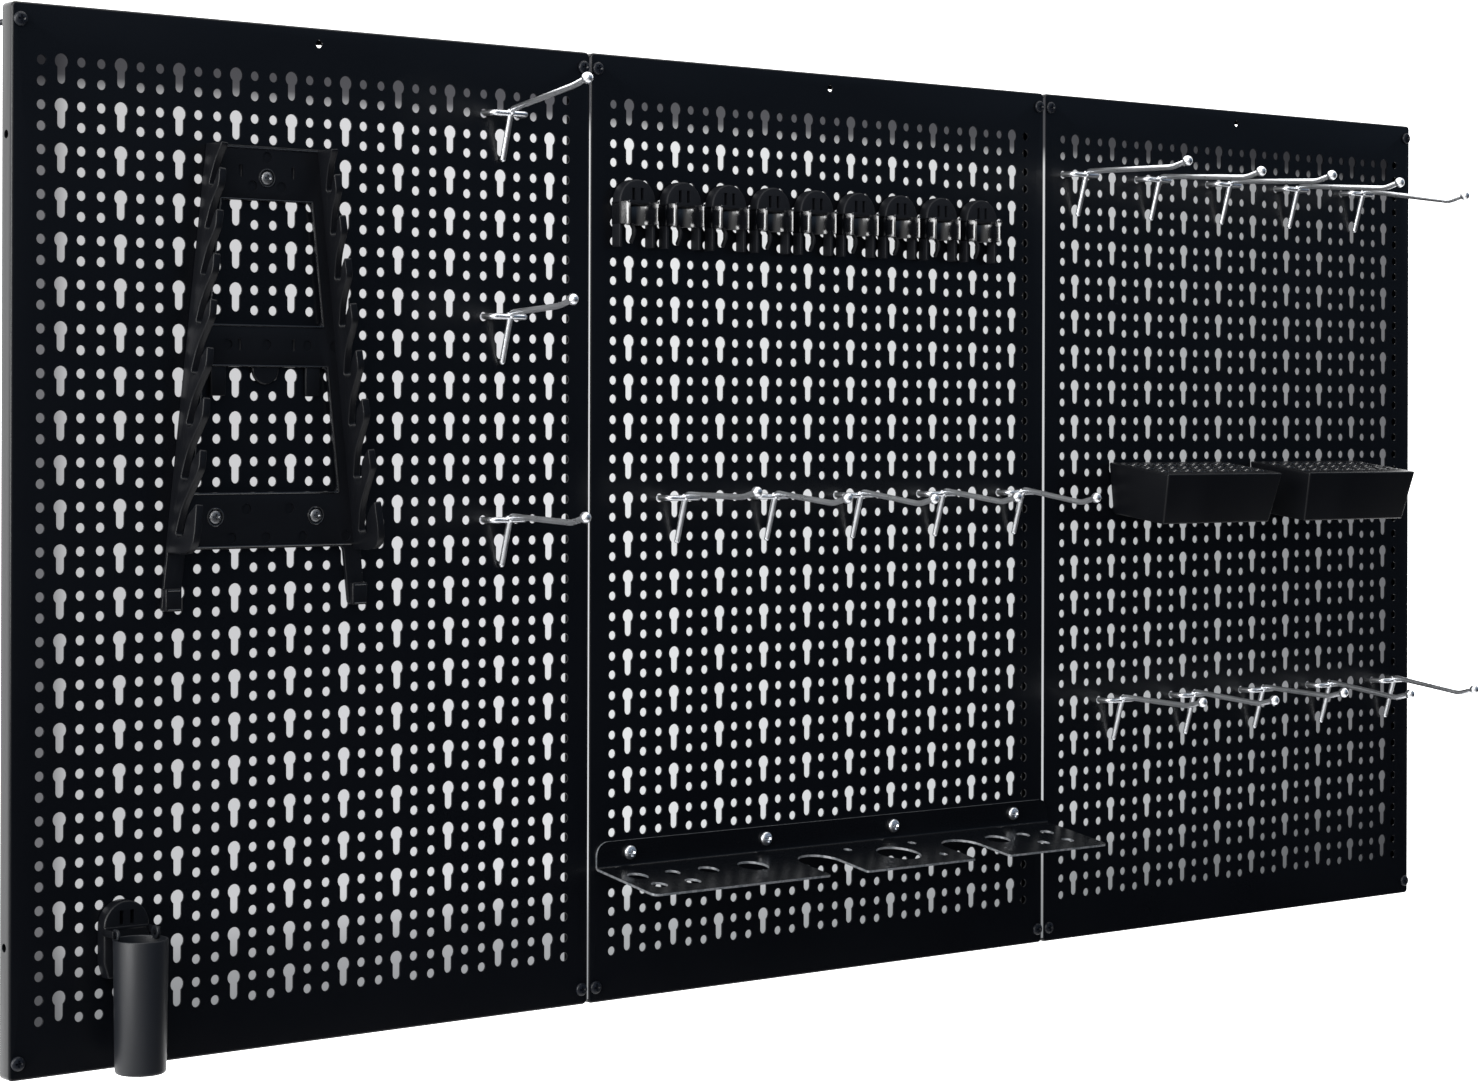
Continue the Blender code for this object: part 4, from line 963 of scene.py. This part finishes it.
class WALL_OT_cup(bpy.types.Operator):
    """Build the cup with its lugs"""
    bl_idname = "wall.cup"
    bl_label = "Cup"

    def execute(self, context):
        axis, rim, foot, height, pivot, lug = cup_facts()
        bm = bmesh.new()
        inner_foot, edge = foot - CUP_WALL, CUP_WALL / 2
        floor = -height + CUP_FLOOR
        flat = inner_foot - CUP_FILLET
        profile = [(0.0, floor), (flat, floor)]
        profile += [(flat + x, floor + CUP_FILLET + z) for x, z in arc((0, 0), CUP_FILLET, -90, 0, 5)[1:]]
        profile += [(rim - edge + x, z - edge) for x, z in arc((0, 0), edge, 180, 0, 8)]
        profile += [(foot + 0.0001, -height + 0.0024)]
        round_x, round_z = foot - CUP_FOOT_ROUND, -height + CUP_FOOT_ROUND
        profile += [(round_x + x, round_z + z) for x, z in arc((0, 0), CUP_FOOT_ROUND, 0, -90, 5)]
        recess = -height + CUP_FOOT_RECESS
        profile += [(foot - 0.004, -height), (foot - 0.0045, recess), (0.0, recess)]
        add_turned(bm, profile, 56, Matrix.Translation(axis))
        for side in (-1, 1):
            ring = circle((0, 0), LUG_RADIUS, 24)
            hole = circle((0, 0), PEG_RADIUS + GAP, 18)
            turn = Matrix.Rotation(math.radians(90), 4, "Y")
            place = Matrix.Translation((pivot.x + side * (lug + LUG_WIDTH / 2), pivot.y, pivot.z)) @ turn
            add_plate(bm, ring, LUG_WIDTH, 0.0004, place, [hole])
        stand_for(piece(bm, "cup_look", ["cup_plastic"]), "cup")
        return {"FINISHED"}


class WALL_OT_cup_hanger(bpy.types.Operator):
    """Build the cup's hanger"""
    bl_idname = "wall.cup_hanger"
    bl_label = "Cup hanger"

    def execute(self, context):
        scene = context.scene
        edge = scene.wall_plastics.edge
        _, _, _, _, pivot, lug = cup_facts()
        low, high = BOXES["cup_hanger"]
        head_z = high.z - BASE_ABOVE_HEAD
        x, front = pivot.x, FACE - GAP - BASE_DEPTH
        bm = bmesh.new()
        add_arched_base(bm, x, head_z, low.z, BASE_HALF - 0.0028, edge, 0)
        add_block(bm, (x - BASE_HALF + 0.0004, front - 0.0002, high.z - 0.0165),
                  (x + BASE_HALF - 0.0004, front + 0.0016, high.z - 0.0145), 0.0005)
        arm_in = lug + LUG_WIDTH + GAP
        for side in (-1, 1):
            ends = sorted((side * arm_in, side * (arm_in + 0.0016)))
            add_block(bm, (x + ends[0], pivot.y - 0.0014, pivot.z - 0.0010),
                      (x + ends[1], front + 0.001, pivot.z + 0.0030), 0.0004)
            start, end = x + side * (lug - 0.0005), x + side * (arm_in + 0.0008)
            add_tube(bm, [(start, pivot.y, pivot.z), (end, pivot.y, pivot.z)], PEG_RADIUS, 18)
        add_stud(bm, x, head_z - KEY_DROP, scene.wall_panels)
        stand_for(piece(bm, "cup_hanger_look", ["black_plastic"]), "cup_hanger")
        return {"FINISHED"}


# ---- Bit holders --------------------------------------------------------------------------------

HOLDER = {"width": 0.1215, "depth": 0.0600, "height": 0.0376, "side": 0.0043, "front": 0.0095,
          "wall": 0.0020, "below": 0.0046, "span": 0.01905}
HOLDER_SLOPE = math.tan(math.radians(7.6))
HOLDER_ROW_PITCH = 0.0146
HOLDER_HOLE = 0.0036


def add_tapered(bm, width, depth, height, edge, low=0.0):
    """A box that narrows to its foot and slopes down to its front, its back upright at y 0."""
    block = bmesh.new()
    bmesh.ops.create_cube(block, size=1.0)
    for vert in block.verts:
        across, out, up = vert.co * 2
        foot = (1 - up) / 2
        reach = (1 - out) / 2 * (depth - HOLDER["front"] * foot)
        vert.co = (across * (width / 2 - HOLDER["side"] * foot), -reach,
                   low - height * foot - reach * HOLDER_SLOPE)
    if edge:
        bmesh.ops.bevel(block, geom=list(block.edges), offset=edge, segments=4, profile=0.5, affect="EDGES")
    add_solid(bm, block)


def holder_holes():
    """Centres of the top's holes: from the middle, and out from the back."""
    return [((i - 4) * COLUMN_PITCH, HOLDER["depth"] / 2 + (j - 1) * HOLDER_ROW_PITCH)
            for j in range(3) for i in range(9)]


def holder_shape(panel):
    """A bit holder, its origin midway between its studs with the panel's face at FACE."""
    size, wall = HOLDER, HOLDER["wall"]
    bm, hollow = bmesh.new(), bmesh.new()
    add_tapered(bm, size["width"], size["depth"], size["height"], 0.0014)
    add_tapered(hollow, size["width"] - 2 * wall, size["depth"] - wall, size["height"] - 2 * wall, 0, -wall)
    bm = carved(bm, hollow)
    mouth = bmesh.new()
    half = size["width"] / 2 - wall - size["side"]
    add_block(mouth, (-half, -0.003, -size["height"] + wall + 0.001), (half, 0.003, -wall - 0.001), 0.0006)
    bm = carved(bm, mouth)
    drills = bmesh.new()
    for x, out in holder_holes():
        level = -out * HOLDER_SLOPE
        add_tube(drills, [(x, -out, level - wall - 0.003), (x, -out, level + 0.003)], HOLDER_HOLE, 20)
    bm = carved(bm, drills)
    tilt = Matrix.Rotation(math.atan(HOLDER_SLOPE), 4, "X")
    for x, out in holder_holes():
        rim = [(0.0035 + r, z) for r, z in arc((0.0005, 0), 0.00055, 0, 360, 8)]
        rim[-1] = rim[0]
        add_turned(bm, rim, 22, Matrix.Translation((x, -out, -out * HOLDER_SLOPE)) @ tilt, 1)
    top = KEY_DROP - size["below"]
    bmesh.ops.translate(bm, verts=bm.verts, vec=(0, FACE - GAP, top))
    for side in (-1, 1):
        x = side * size["span"]
        add_block(bm, (x - 0.006, FACE - GAP - wall, top - size["height"] + wall / 2),
                  (x + 0.006, FACE - GAP - 0.0002, top - wall / 2), 0.0004)
        add_stud(bm, x, 0, panel)
    return bm


class WALL_OT_holders(bpy.types.Operator):
    """Build the two bit holders"""
    bl_idname = "wall.holders"
    bl_label = "Bit holders"

    def execute(self, context):
        above = max(KEY_DROP - HOLDER["below"], context.scene.wall_panels.key_head - GAP)
        nodes = ["bit_holder_left", "bit_holder_right"]
        level = BOXES[nodes[0]][1].z - above
        places = [(middle(node)[0], 0, level) for node in nodes]
        repeated(holder_shape(context.scene.wall_panels), nodes, places, ["black_plastic", "gloss_plastic"])
        return {"FINISHED"}


# ---- Wrench rack --------------------------------------------------------------------------------

RACK = {"height": 0.2740, "top": 0.0399, "foot": 0.0701, "plate": 0.0030, "rail": 0.0120,
        "fin": 0.0048, "fin_length": 0.2414, "fin_top": 0.0181, "fin_foot": 0.0323}
# Upper and lower drop of each bar, and the screws' places: across, and drop
RACK_BARS = ((0.0, 0.0320), (0.1065, 0.1302), (0.2060, 0.2385))
RACK_SEATS = ((0.0, 0.0188), (-0.0345, 0.2195), (0.0345, 0.2195))
DIMPLE_RADIUS = 0.0032
DIMPLE_DEPTH = 0.0009
SEAT_RADIUS = 0.0046
SEAT_DEPTH = 0.0012
SEAT_BORE = 0.0020
SEAT_RING = 0.0052
RACK_DIMPLES = ((0.0, 0.0065), (-0.0100, 0.0238), (0.0100, 0.0238), (-0.0265, 0.1178), (0.0, 0.1178),
                (0.0285, 0.1178), (0.0475, 0.1178), (-0.0475, 0.1178), (-0.0235, 0.2320), (0.0, 0.2320),
                (0.0255, 0.2320), (0.0560, 0.2320), (-0.0560, 0.2320), (-0.0135, 0.2150), (0.0160, 0.2150))


def rack_half(drop):
    """Half the ladder's width at a drop below its upper edge."""
    return RACK["top"] + (RACK["foot"] - RACK["top"]) * drop / RACK["height"]


def rack_outline():
    """The ladder's outline and windows, in drops from its upper edge."""
    foot, arch, rail = rack_half(RACK["height"]), RACK_BARS[2][1], RACK["rail"]
    left = [(-rack_half(0), 0), (-foot, -RACK["height"]), (-foot + rail, -RACK["height"]),
            (-rack_half(arch) + rail, -arch)]
    outline = softened(left + [(-x, z) for x, z in reversed(left)], 0.003, 4, closed=True)
    windows = []
    for (_, high), (low, _) in zip(RACK_BARS, RACK_BARS[1:]):
        top, wide = rack_half(high) - rail, rack_half(low) - rail
        windows.append(softened([(-top, -high), (-wide, -low), (wide, -low), (top, -high)], 0.006, 6, True))
    return outline, windows


def fin_reach(drop):
    """How far the fin stands off the panel at a drop below its top."""
    return RACK["fin_top"] + (RACK["fin_foot"] - RACK["fin_top"]) * drop / RACK["fin_length"]


FIRST_SLOT = 0.0267
# Each pair is the first slot's measure and how much it grows from slot to slot
SLOT_STEP = (0.0259, 0.00115)
TOOTH_RISE = (0.0118, 0.0012)
SLOT_MOUTH = (0.0135, 0.0010)
SLOT_REAR = (0.0080, 0.00025)
SLOT_WIDTH = (0.0054, 0.0005)


def slot_corners(i, drop):
    """One slot from its upper lip round its floor to the tooth's tip: reach, height and softening."""
    rise = TOOTH_RISE[0] + i * TOOTH_RISE[1]
    tip = drop - rise
    lip = tip - SLOT_MOUTH[0] - i * SLOT_MOUTH[1]
    rear = SLOT_REAR[0] + i * SLOT_REAR[1]
    base = rear + SLOT_WIDTH[0] + i * SLOT_WIDTH[1]
    return [(fin_reach(lip), -lip, 0.0030), (rear + 0.0042, 0.0160 + i * 0.0003 - drop, 0.0060),
            (rear, 0.0022 - drop, 0.0016), (rear + 0.0030, -drop, 0.0016),
            (base, 0.0016 - drop, 0.0016), (base + 0.0020, 0.62 * rise - drop, 0.0030),
            (fin_reach(tip) - 0.0009, -tip, 0.0006), (fin_reach(tip), -tip - 0.0009, 0.0006)]


def fin_outline():
    """Side view of a fin: x is the reach from the panel and y the drop."""
    corners = [(0.0, 0.0, 0.0006), (fin_reach(0), 0.0, 0.0012)]
    drop = FIRST_SLOT
    for i in range(8):
        corners += slot_corners(i, drop)
        drop += SLOT_STEP[0] + i * SLOT_STEP[1]
    foot = RACK["fin_length"]
    corners += [(fin_reach(foot), -foot, 0.0150), (0.0, -foot, 0.0006)]
    outline = []
    for k, (x, y, radius) in enumerate(corners):
        three = [corners[k - 1][:2], (x, y), corners[(k + 1) % len(corners)][:2]]
        outline += softened(three, radius, 4)[1:-1]
    return outline


def add_rib(bm, start, end, lift, width=0.0007, slot=0):
    """A slim rounded rib on the ladder's face, in drops from its upper edge."""
    add_tube(bm, [(start[0], start[1], lift), (end[0], end[1], lift)], width, 8, slot)


def add_ladder(bm):
    """The ladder plate with its dimples and ribs, in its own plane: z is out of the wall."""
    outline, windows = rack_outline()
    thick = RACK["plate"]
    ladder, dents = bmesh.new(), bmesh.new()
    add_plate(ladder, outline, thick, 0.0006, Matrix.Identity(4), windows)
    lift = thick / 2
    for x, drop in RACK_DIMPLES:
        add_tube(dents, [(x, -drop, lift - DIMPLE_DEPTH), (x, -drop, lift + 0.002)], DIMPLE_RADIUS, 20)
    for side in (-1, 1):
        for x, drop in ((0.0180, 0.0150), (0.0185, 0.1178)):
            low = (side * x - 0.0012, -drop - 0.0035, lift - 0.0012)
            add_block(dents, low, (side * x + 0.0012, -drop + 0.0035, lift + 0.002), 0.0005)
    for x, drop in RACK_SEATS:
        add_tube(dents, [(x, -drop, lift - SEAT_DEPTH), (x, -drop, lift + 0.002)], SEAT_RADIUS, 24)
        add_tube(dents, [(x, -drop, -lift - 0.002), (x, -drop, lift + 0.002)], SEAT_BORE, 16)
    add_solid(bm, carved(ladder, dents), slot=0)
    for window in windows:
        corners = [window[3], window[10], window[17], window[24]]
        out = [c + (c - sum(corners, Vector((0, 0))) / 4).normalized() * 0.0021 for c in corners]
        for a, b in zip(out, out[1:] + out[:1]):
            add_rib(bm, a, b, lift - 0.0001, slot=1)
    for top, foot in RACK_BARS:
        for drop in (top + 0.0014, foot - 0.0014):
            reach = rack_half(drop) - 0.004
            if 0.001 < drop < 0.004 or drop > RACK_BARS[2][1] - 0.004:
                add_rib(bm, (-reach, -drop), (reach, -drop), lift - 0.0001, slot=1)
    for x, drop in RACK_SEATS:
        ring = [(SEAT_RING + r, z) for r, z in arc((0, 0), 0.0006, 0, 360, 8)]
        ring[-1] = ring[0]
        add_turned(bm, ring, 28, Matrix.Translation((x, -drop, lift)), 1)


def rack_shape():
    """The whole rack about the middle of its upper edge, standing out of the wall along -Y."""
    bm = bmesh.new()
    add_ladder(bm)
    thick = RACK["plate"]
    low = -RACK_BARS[1][1]
    add_turned(bm, [(0.0, 0.0), (0.0090, 0.0), (0.0090, thick - 0.0016), (0.0084, thick - 0.0010),
                    (0.0, thick - 0.0010)], 32, Matrix.Translation((0, low - 0.002, -thick / 2 + 0.0003)))
    for side in (-1, 1):
        x = side * 0.0325
        back, front = -thick / 2 + 0.0004, thick / 2 - 0.0004
        add_block(bm, (x - 0.005, low - 0.018, back), (x + 0.005, low + 0.001, front), 0.0006)
        outer = side * (RACK["foot"] - 0.0010)
        edges = sorted((outer, outer - side * (RACK["rail"] - 0.0015)))
        deep = 0.0065 - thick / 2
        high = -RACK["height"] + 0.0135
        foot = (edges[0], -RACK["height"] + 0.0002, -thick / 2 + 0.0002)
        add_block(bm, foot, (edges[1], high, deep), 0.0007)
        for z in (-RACK["height"] + 0.0014, high - 0.0012):
            add_rib(bm, (edges[0] + 0.0012, z), (edges[1] - 0.0012, z), deep, 0.0005, 1)
    bmesh.ops.transform(bm, matrix=Matrix.Translation((0, -thick / 2, 0)) @ UPRIGHT, verts=bm.verts)
    lean = math.atan((RACK["foot"] - RACK["top"]) / RACK["height"])
    upright = Matrix(((0, 0, 1, 0), (-1, 0, 0, 0), (0, 1, 0, 0), (0, 0, 0, 1)))
    for side in (-1, 1):
        place = Matrix.Translation((side * (RACK["top"] - RACK["fin"] / 2), -0.0001, -0.0002))
        tilt = Matrix.Rotation(-side * lean, 4, "Y")
        add_plate(bm, fin_outline(), RACK["fin"], 0.0006, place @ tilt @ upright, slot=0)
    return bm


class WALL_OT_rack(bpy.types.Operator):
    """Build the slotted wrench rack and its screws"""
    bl_idname = "wall.rack"
    bl_label = "Wrench rack"

    def execute(self, context):
        rack = piece(rack_shape(), "wrench_rack_look", ["black_plastic", "gloss_plastic"])
        rack.location = (middle("wrench_rack")[0], FACE - GAP, BOXES["wrench_rack"][1].z)
        stand_for(rack, "wrench_rack")
        nodes = ["rack_screw_top", "rack_screw_low_left", "rack_screw_low_right"]
        screws(nodes, RACK_SCREW, "bright_zinc", "dull_zinc")
        return {"FINISHED"}


# ---- Shelf --------------------------------------------------------------------------------------

SHELF_FLANGE = 0.0175
SHELF_DEPTH = 0.0618
SHELF_SLOPE = math.radians(9.2)
SHELF_MOUTHS = (-0.0350, 0.0950)
SHELF_CORNER = 0.0090
SHELF_SCREW_HOLE = 0.0025
# Each round hole: across, distance out along the plate, and radius
SHELF_HOLES = (
    (-0.1815, 0.0230, 0.0070), (-0.1530, 0.0230, 0.0050), (-0.1250, 0.0250, 0.0070),
    (-0.0890, 0.0270, 0.0105), (0.0340, 0.0330, 0.0155), (0.1330, 0.0260, 0.0090),
    (0.1605, 0.0230, 0.0050), (0.1840, 0.0230, 0.0050), (-0.1800, 0.0440, 0.0055),
    (-0.1530, 0.0440, 0.0055), (0.1605, 0.0440, 0.0045), (0.1840, 0.0440, 0.0045),
    (0.0035, 0.0150, 0.0030), (0.0620, 0.0150, 0.0030), (0.0640, 0.0450, 0.0030),
)


def shelf_plan(left, right, start):
    """The plate's outline from its fold outward, with two mouths open to the front."""
    edge, corner, radius = -SHELF_DEPTH, 0.0045, 0.0160
    outline = [(left, -start)] + arc((left + corner, edge + corner), corner, 180, 270, 8)
    for x in SHELF_MOUTHS:
        outline += arc((x - radius - 0.0016, edge + 0.0016), 0.0016, 270, 360, 5)
        outline += arc((x, -0.0330), radius, 180, 0, 30)
        outline += arc((x + radius + 0.0016, edge + 0.0016), 0.0016, 180, 270, 5)
    outline += arc((right - corner, edge + corner), corner, 270, 360, 8)
    return outline + [(right, -start)]


def shelf_skin(sizes):
    """The middle surface of the folded shelf: flange, bend and sloping plate."""
    low, high = BOXES["bit_shelf"]
    left, right = low.x, high.x
    depth = FACE - GAP - sizes.sheet / 2
    fold = high.z - SHELF_FLANGE
    bend, turn = sizes.bend, math.radians(90) - SHELF_SLOPE
    centre = Vector((0, depth - bend, fold + bend))
    bm = bmesh.new()
    corner = SHELF_CORNER
    outline = [(left, fold + bend), (right, fold + bend)]
    outline += arc((right - corner, high.z - corner), corner, 0, 90, 12)
    outline += arc((left + corner, high.z - corner), corner, 90, 180, 12)
    holes = []
    for number in range(1, 5):
        x, _, z = middle(f"shelf_screw_{number}")
        holes.append(circle((x, z), SHELF_SCREW_HOLE, 16))
    points, faces = filled(outline, holes, lambda x, z: (x, depth, z))
    add_faces(bm, points, faces)
    rows = []
    for i in range(7):
        angle = turn * i / 6
        place = centre + Vector((0, bend * math.cos(angle), -bend * math.sin(angle)))
        rows.append([Vector((x, place.y, place.z)) for x in (left, right)])
    for a, b in zip(rows, rows[1:]):
        add_faces(bm, [a[0], a[1], b[1], b[0]], [(0, 1, 2, 3)])
    last = rows[-1][0]
    start = (depth - last.y) / math.cos(SHELF_SLOPE)
    along = Vector((0, -math.cos(SHELF_SLOPE), -math.sin(SHELF_SLOPE)))
    plan = shelf_plan(left, right, start)
    rounds = [circle((x, -out), radius, 28) for x, out, radius in SHELF_HOLES]
    points, faces = filled(plan, rounds, lambda x, y: Vector((x, last.y, last.z)) + along * (-y - start))
    add_faces(bm, points, faces)
    bmesh.ops.remove_doubles(bm, verts=bm.verts, dist=SKIN_WELD)
    bmesh.ops.recalc_face_normals(bm, faces=bm.faces)
    return bm


def nut_mesh():
    """A flanged nut behind the sheet, its seat at the origin, towards +Y."""
    bm = bmesh.new()
    profile = [(0.0025, 0.0), (0.0073, 0.0), (0.0075, -0.0004), (0.0066, -0.0010), (0.0042, -0.0013),
               (0.0042, -0.0030), (0.0025, -0.0030), (0.0025, 0.0)]
    add_turned(bm, profile, 6, UPRIGHT)
    ring = [(0.0025, 0.0), (0.0074, 0.0), (0.0075, -0.0004), (0.0066, -0.0010), (0.0025, -0.0011),
            (0.0025, 0.0)]
    add_turned(bm, ring, 32, UPRIGHT)
    return bm


class WALL_OT_shelf(bpy.types.Operator):
    """Build the folded shelf with its screws and nuts"""
    bl_idname = "wall.shelf"
    bl_label = "Bit shelf"

    def execute(self, context):
        sizes = context.scene.wall_shelf
        folded_sheet(shelf_skin(sizes), "bit_shelf_look", sizes.sheet, ["shelf_steel", "sheared_edge"],
                     "bit_shelf")
        numbers = range(1, 5)
        screws([f"shelf_screw_{number}" for number in numbers], SHELF_SCREW, "bright_zinc")
        nuts = [f"shelf_nut_{number}" for number in numbers]
        repeated(nut_mesh(), nuts, [screw_seat(nut) for nut in nuts], ["bright_zinc"], 30)
        return {"FINISHED"}


# ---- Stage --------------------------------------------------------------------------------------

CAMERA_PLACE = (-1.4727, -1.7172, -0.2314)
CAMERA_TURNS = ((-39.28, "Z"), (90.021, "X"), (0.155, "Z"))
CAMERA_SHIFT = -0.0826
# Where each light stands, where it points, and its width and height
LIGHTS = {
    "key": ((-1.6, -1.3, 0.9), (-0.2, 0.0, -0.3), (1.2, 1.2)),
    "side": ((-3.0, -0.6, 0.1), (0.0, 0.0, -0.3), (1.5, 1.5)),
    "top": ((0.2, -0.5, 1.2), (0.2, 0.0, -0.3), (1.8, 0.5)),
}
# Inset of the painted light's wall sheet from the board's edges.
WALL_LIGHT_INSET = 0.012
# The glowing strips of painted light in the seams between panels: their width, and their trim at top and foot.
SEAM_LIGHT_WIDTH = 0.0010
SEAM_LIGHT_TRIM = 0.003
FLOOR_HALF = 2.0


def one_sided_painted_light(name, brightness):
    """Painted light: the pale wall behind the board, as if lit through the holes, drawn as a glow that is
    brightest behind its middle, with painted shade round it; clear when seen from behind.
    """
    recipe = Recipe(name)
    place = recipe.add("ShaderNodeTexCoord", output="Object")
    across = recipe.add("ShaderNodeSeparateXYZ", None, {0: place}, "X")
    height = recipe.add("ShaderNodeSeparateXYZ", None, {0: place}, "Z")
    low, high = CAD_BOX
    # Painted shade on that wall: darker behind the solid top band and towards the foot, and from left to right
    # darker at both ends, most at the right end.
    down = recipe.ramp((high.z - height) * (1 / (high.z - low.z)), (0.0, (0.10, 0.10, 0.11)),
                       (0.062, (0.13, 0.13, 0.14)), (0.085, (1.0, 1.0, 1.0)), (0.86, (0.92, 0.93, 0.94)),
                       (0.91, (0.55, 0.56, 0.57)), (1.0, (0.35, 0.36, 0.37)))
    along = recipe.ramp((across - low.x) * (1 / (high.x - low.x)), (0.0, (0.16, 0.16, 0.17)),
                        (0.024, (0.18, 0.18, 0.19)), (0.036, (0.56, 0.56, 0.57)), (0.30, (0.80, 0.80, 0.82)),
                        (0.36, (0.84, 0.85, 0.86)), (0.66, (0.66, 0.67, 0.68)), (0.80, (0.42, 0.43, 0.44)),
                        (1.0, (0.15, 0.15, 0.16)))
    level = recipe.add("ShaderNodeMix", {"data_type": "RGBA", "blend_type": "MULTIPLY"},
                       {0: 1.0, 6: down, 7: along}, 2)
    # Painted light: the wall's lit brightness is drawn as emission.
    glow = recipe.add("ShaderNodeEmission", None, {"Color": level, "Strength": brightness})
    clear = recipe.add("ShaderNodeBsdfTransparent")
    back = recipe.add("ShaderNodeNewGeometry", output="Backfacing")
    mixed = recipe.add("ShaderNodeMixShader", None, {0: back, 1: glow, 2: clear})
    recipe.add("ShaderNodeOutputMaterial", None, {"Surface": mixed})
    return recipe.material


def light_the_room(stage):
    """Soft light from all round: bright behind the board, dim where the board's gloss looks."""
    world = bpy.data.worlds.new("soft_studio")
    bpy.context.scene.world = world
    world.use_nodes = True
    recipe = Recipe("soft_studio", world.node_tree)
    way = recipe.add("ShaderNodeTexCoord", output="Generated")
    mirror = Vector((0.62, -0.78, -0.05)).normalized()
    facing = recipe.add("ShaderNodeVectorMath", {"operation": "DOT_PRODUCT"}, {0: way, 1: mirror}, "Value")
    tilt = recipe.add("ShaderNodeSeparateXYZ", None, {0: way}, "Z")
    near = recipe.ramp(tilt * 2.0 + 0.5, (0.10, (0.006, 0.006, 0.008)), (0.45, (0.010, 0.012, 0.016)),
                       (0.80, (0.05, 0.07, 0.10)))
    dark = recipe.ramp(facing, (0.35, (0.0, 0.0, 0.0)), (0.82, (1.0, 1.0, 1.0)))
    behind = recipe.add("ShaderNodeSeparateXYZ", None, {0: way}, "Y")
    level = recipe.ramp(behind, (0.0, (stage.front,) * 3), (0.15, (1.0, 1.0, 1.0)))
    colour = recipe.add("ShaderNodeMix", {"data_type": "RGBA"}, {0: dark, 6: level, 7: near}, 2)
    back = recipe.add("ShaderNodeBackground", None, {"Color": colour, "Strength": stage.backdrop})
    recipe.add("ShaderNodeOutputWorld", None, {"Surface": back})


def area_light(name, place, aim, size, power):
    light = bpy.data.lights.new(name, "AREA")
    light.shape, light.size, light.size_y, light.energy = "RECTANGLE", *size, power
    obj = bpy.data.objects.new(name, light)
    bpy.context.scene.collection.objects.link(obj)
    obj.location = place
    obj.rotation_euler = (Vector(aim) - Vector(place)).to_track_quat("-Z", "Y").to_euler()


class WALL_OT_stage(bpy.types.Operator):
    """Set up the camera, the soft light, the floor, and the painted light behind the holes and in the panels'
    seams
    """
    bl_idname = "wall.stage"
    bl_label = "Stage"

    def execute(self, context):
        scene, stage = context.scene, context.scene.wall_stage
        scene.view_settings.view_transform = "Standard"
        camera = bpy.data.cameras.new("camera")
        camera.lens, camera.sensor_width, camera.shift_y = stage.lens, 36.0, CAMERA_SHIFT
        camera.clip_end = 50.0
        view = bpy.data.objects.new("camera", camera)
        scene.collection.objects.link(view)
        turn = Matrix.Identity(4)
        for degrees, axis in CAMERA_TURNS:
            turn = turn @ Matrix.Rotation(math.radians(degrees), 4, axis)
        view.matrix_world = Matrix.Translation(CAMERA_PLACE) @ turn
        scene.camera = view
        light_the_room(stage)
        for name, (place, aim, size) in LIGHTS.items():
            area_light(name, place, aim, size, getattr(stage, name))
        low, high = CAD_BOX
        # Painted light: a glowing sheet just behind the board stands in for the lit wall seen through the holes.
        painted_light_patches = [(low.x + WALL_LIGHT_INSET, high.x - WALL_LIGHT_INSET, 0.0006, WALL_LIGHT_INSET)]
        # Painted light: thin glowing strips in the seams between the panels stand in for light from behind coming
        # through the gaps.
        for side, spread in (("centre", 0.0), ("right", 0.0007)):
            seam = BOXES[f"panel_{side}"][0].x
            painted_light_patches.append((seam - SEAM_LIGHT_WIDTH - spread, seam + spread, FACE + 0.0004, SEAM_LIGHT_TRIM))
        wall = bmesh.new()
        for x0, x1, y, trim in painted_light_patches:
            foot, head = low.z + trim, high.z - trim
            corners = [(x0, y, foot), (x1, y, foot), (x1, y, head), (x0, y, head)]
            add_faces(wall, corners, [(0, 1, 2, 3)])
        glow = as_object(wall, "glow_behind")
        glow.data.materials.append(one_sided_painted_light("wall_glow", stage.behind))
        z, wide = high.z - stage.floor, FLOOR_HALF
        corners = [(-wide, -wide, z), (wide, -wide, z), (wide, wide, z), (-wide, wide, z)]
        floor = bmesh.new()
        add_faces(floor, corners, [(0, 1, 2, 3)])
        floor = as_object(floor, "floor")
        recipe = Recipe("pale_floor")
        floor.data.materials.append(recipe.surface({"Base Color": (0.75, 0.75, 0.76, 1.0), "Roughness": 0.7},
                                                   recipe.noise(40.0), 0.0002))
        return {"FINISHED"}


# ---- Add-on -------------------------------------------------------------------------------------

OPERATORS = (WALL_OT_panels, WALL_OT_wall_screws, WALL_OT_hooks, WALL_OT_clips, WALL_OT_cup,
             WALL_OT_cup_hanger, WALL_OT_holders, WALL_OT_rack, WALL_OT_shelf, WALL_OT_stage)
GROUPS = {"wall_panels": PanelSizes, "wall_wires": WireSizes, "wall_plastics": PlasticSizes,
          "wall_shelf": ShelfSizes, "wall_stage": StageSizes}


class WALL_PT_tools(bpy.types.Panel):
    """Buttons and sizes of the tool wall"""
    bl_label = "Tool wall"
    bl_idname = "WALL_PT_tools"
    bl_space_type = "VIEW_3D"
    bl_region_type = "UI"
    bl_category = "Tool wall"

    def draw(self, context):
        for operator in OPERATORS:
            self.layout.operator(operator.bl_idname)
        for name, group in GROUPS.items():
            box = self.layout.box()
            for key in group.__annotations__:
                box.prop(getattr(context.scene, name), key)


def register():
    for cls in (*GROUPS.values(), *OPERATORS, WALL_PT_tools):
        bpy.utils.register_class(cls)
    for name, group in GROUPS.items():
        setattr(bpy.types.Scene, name, PointerProperty(type=group))


def unregister():
    for name in GROUPS:
        delattr(bpy.types.Scene, name)
    for cls in reversed((*GROUPS.values(), *OPERATORS, WALL_PT_tools)):
        bpy.utils.unregister_class(cls)


def main():
    register()
    for operator in OPERATORS:
        group, name = operator.bl_idname.split(".")
        getattr(getattr(bpy.ops, group), name)()


if __name__ == "__main__":
    main()
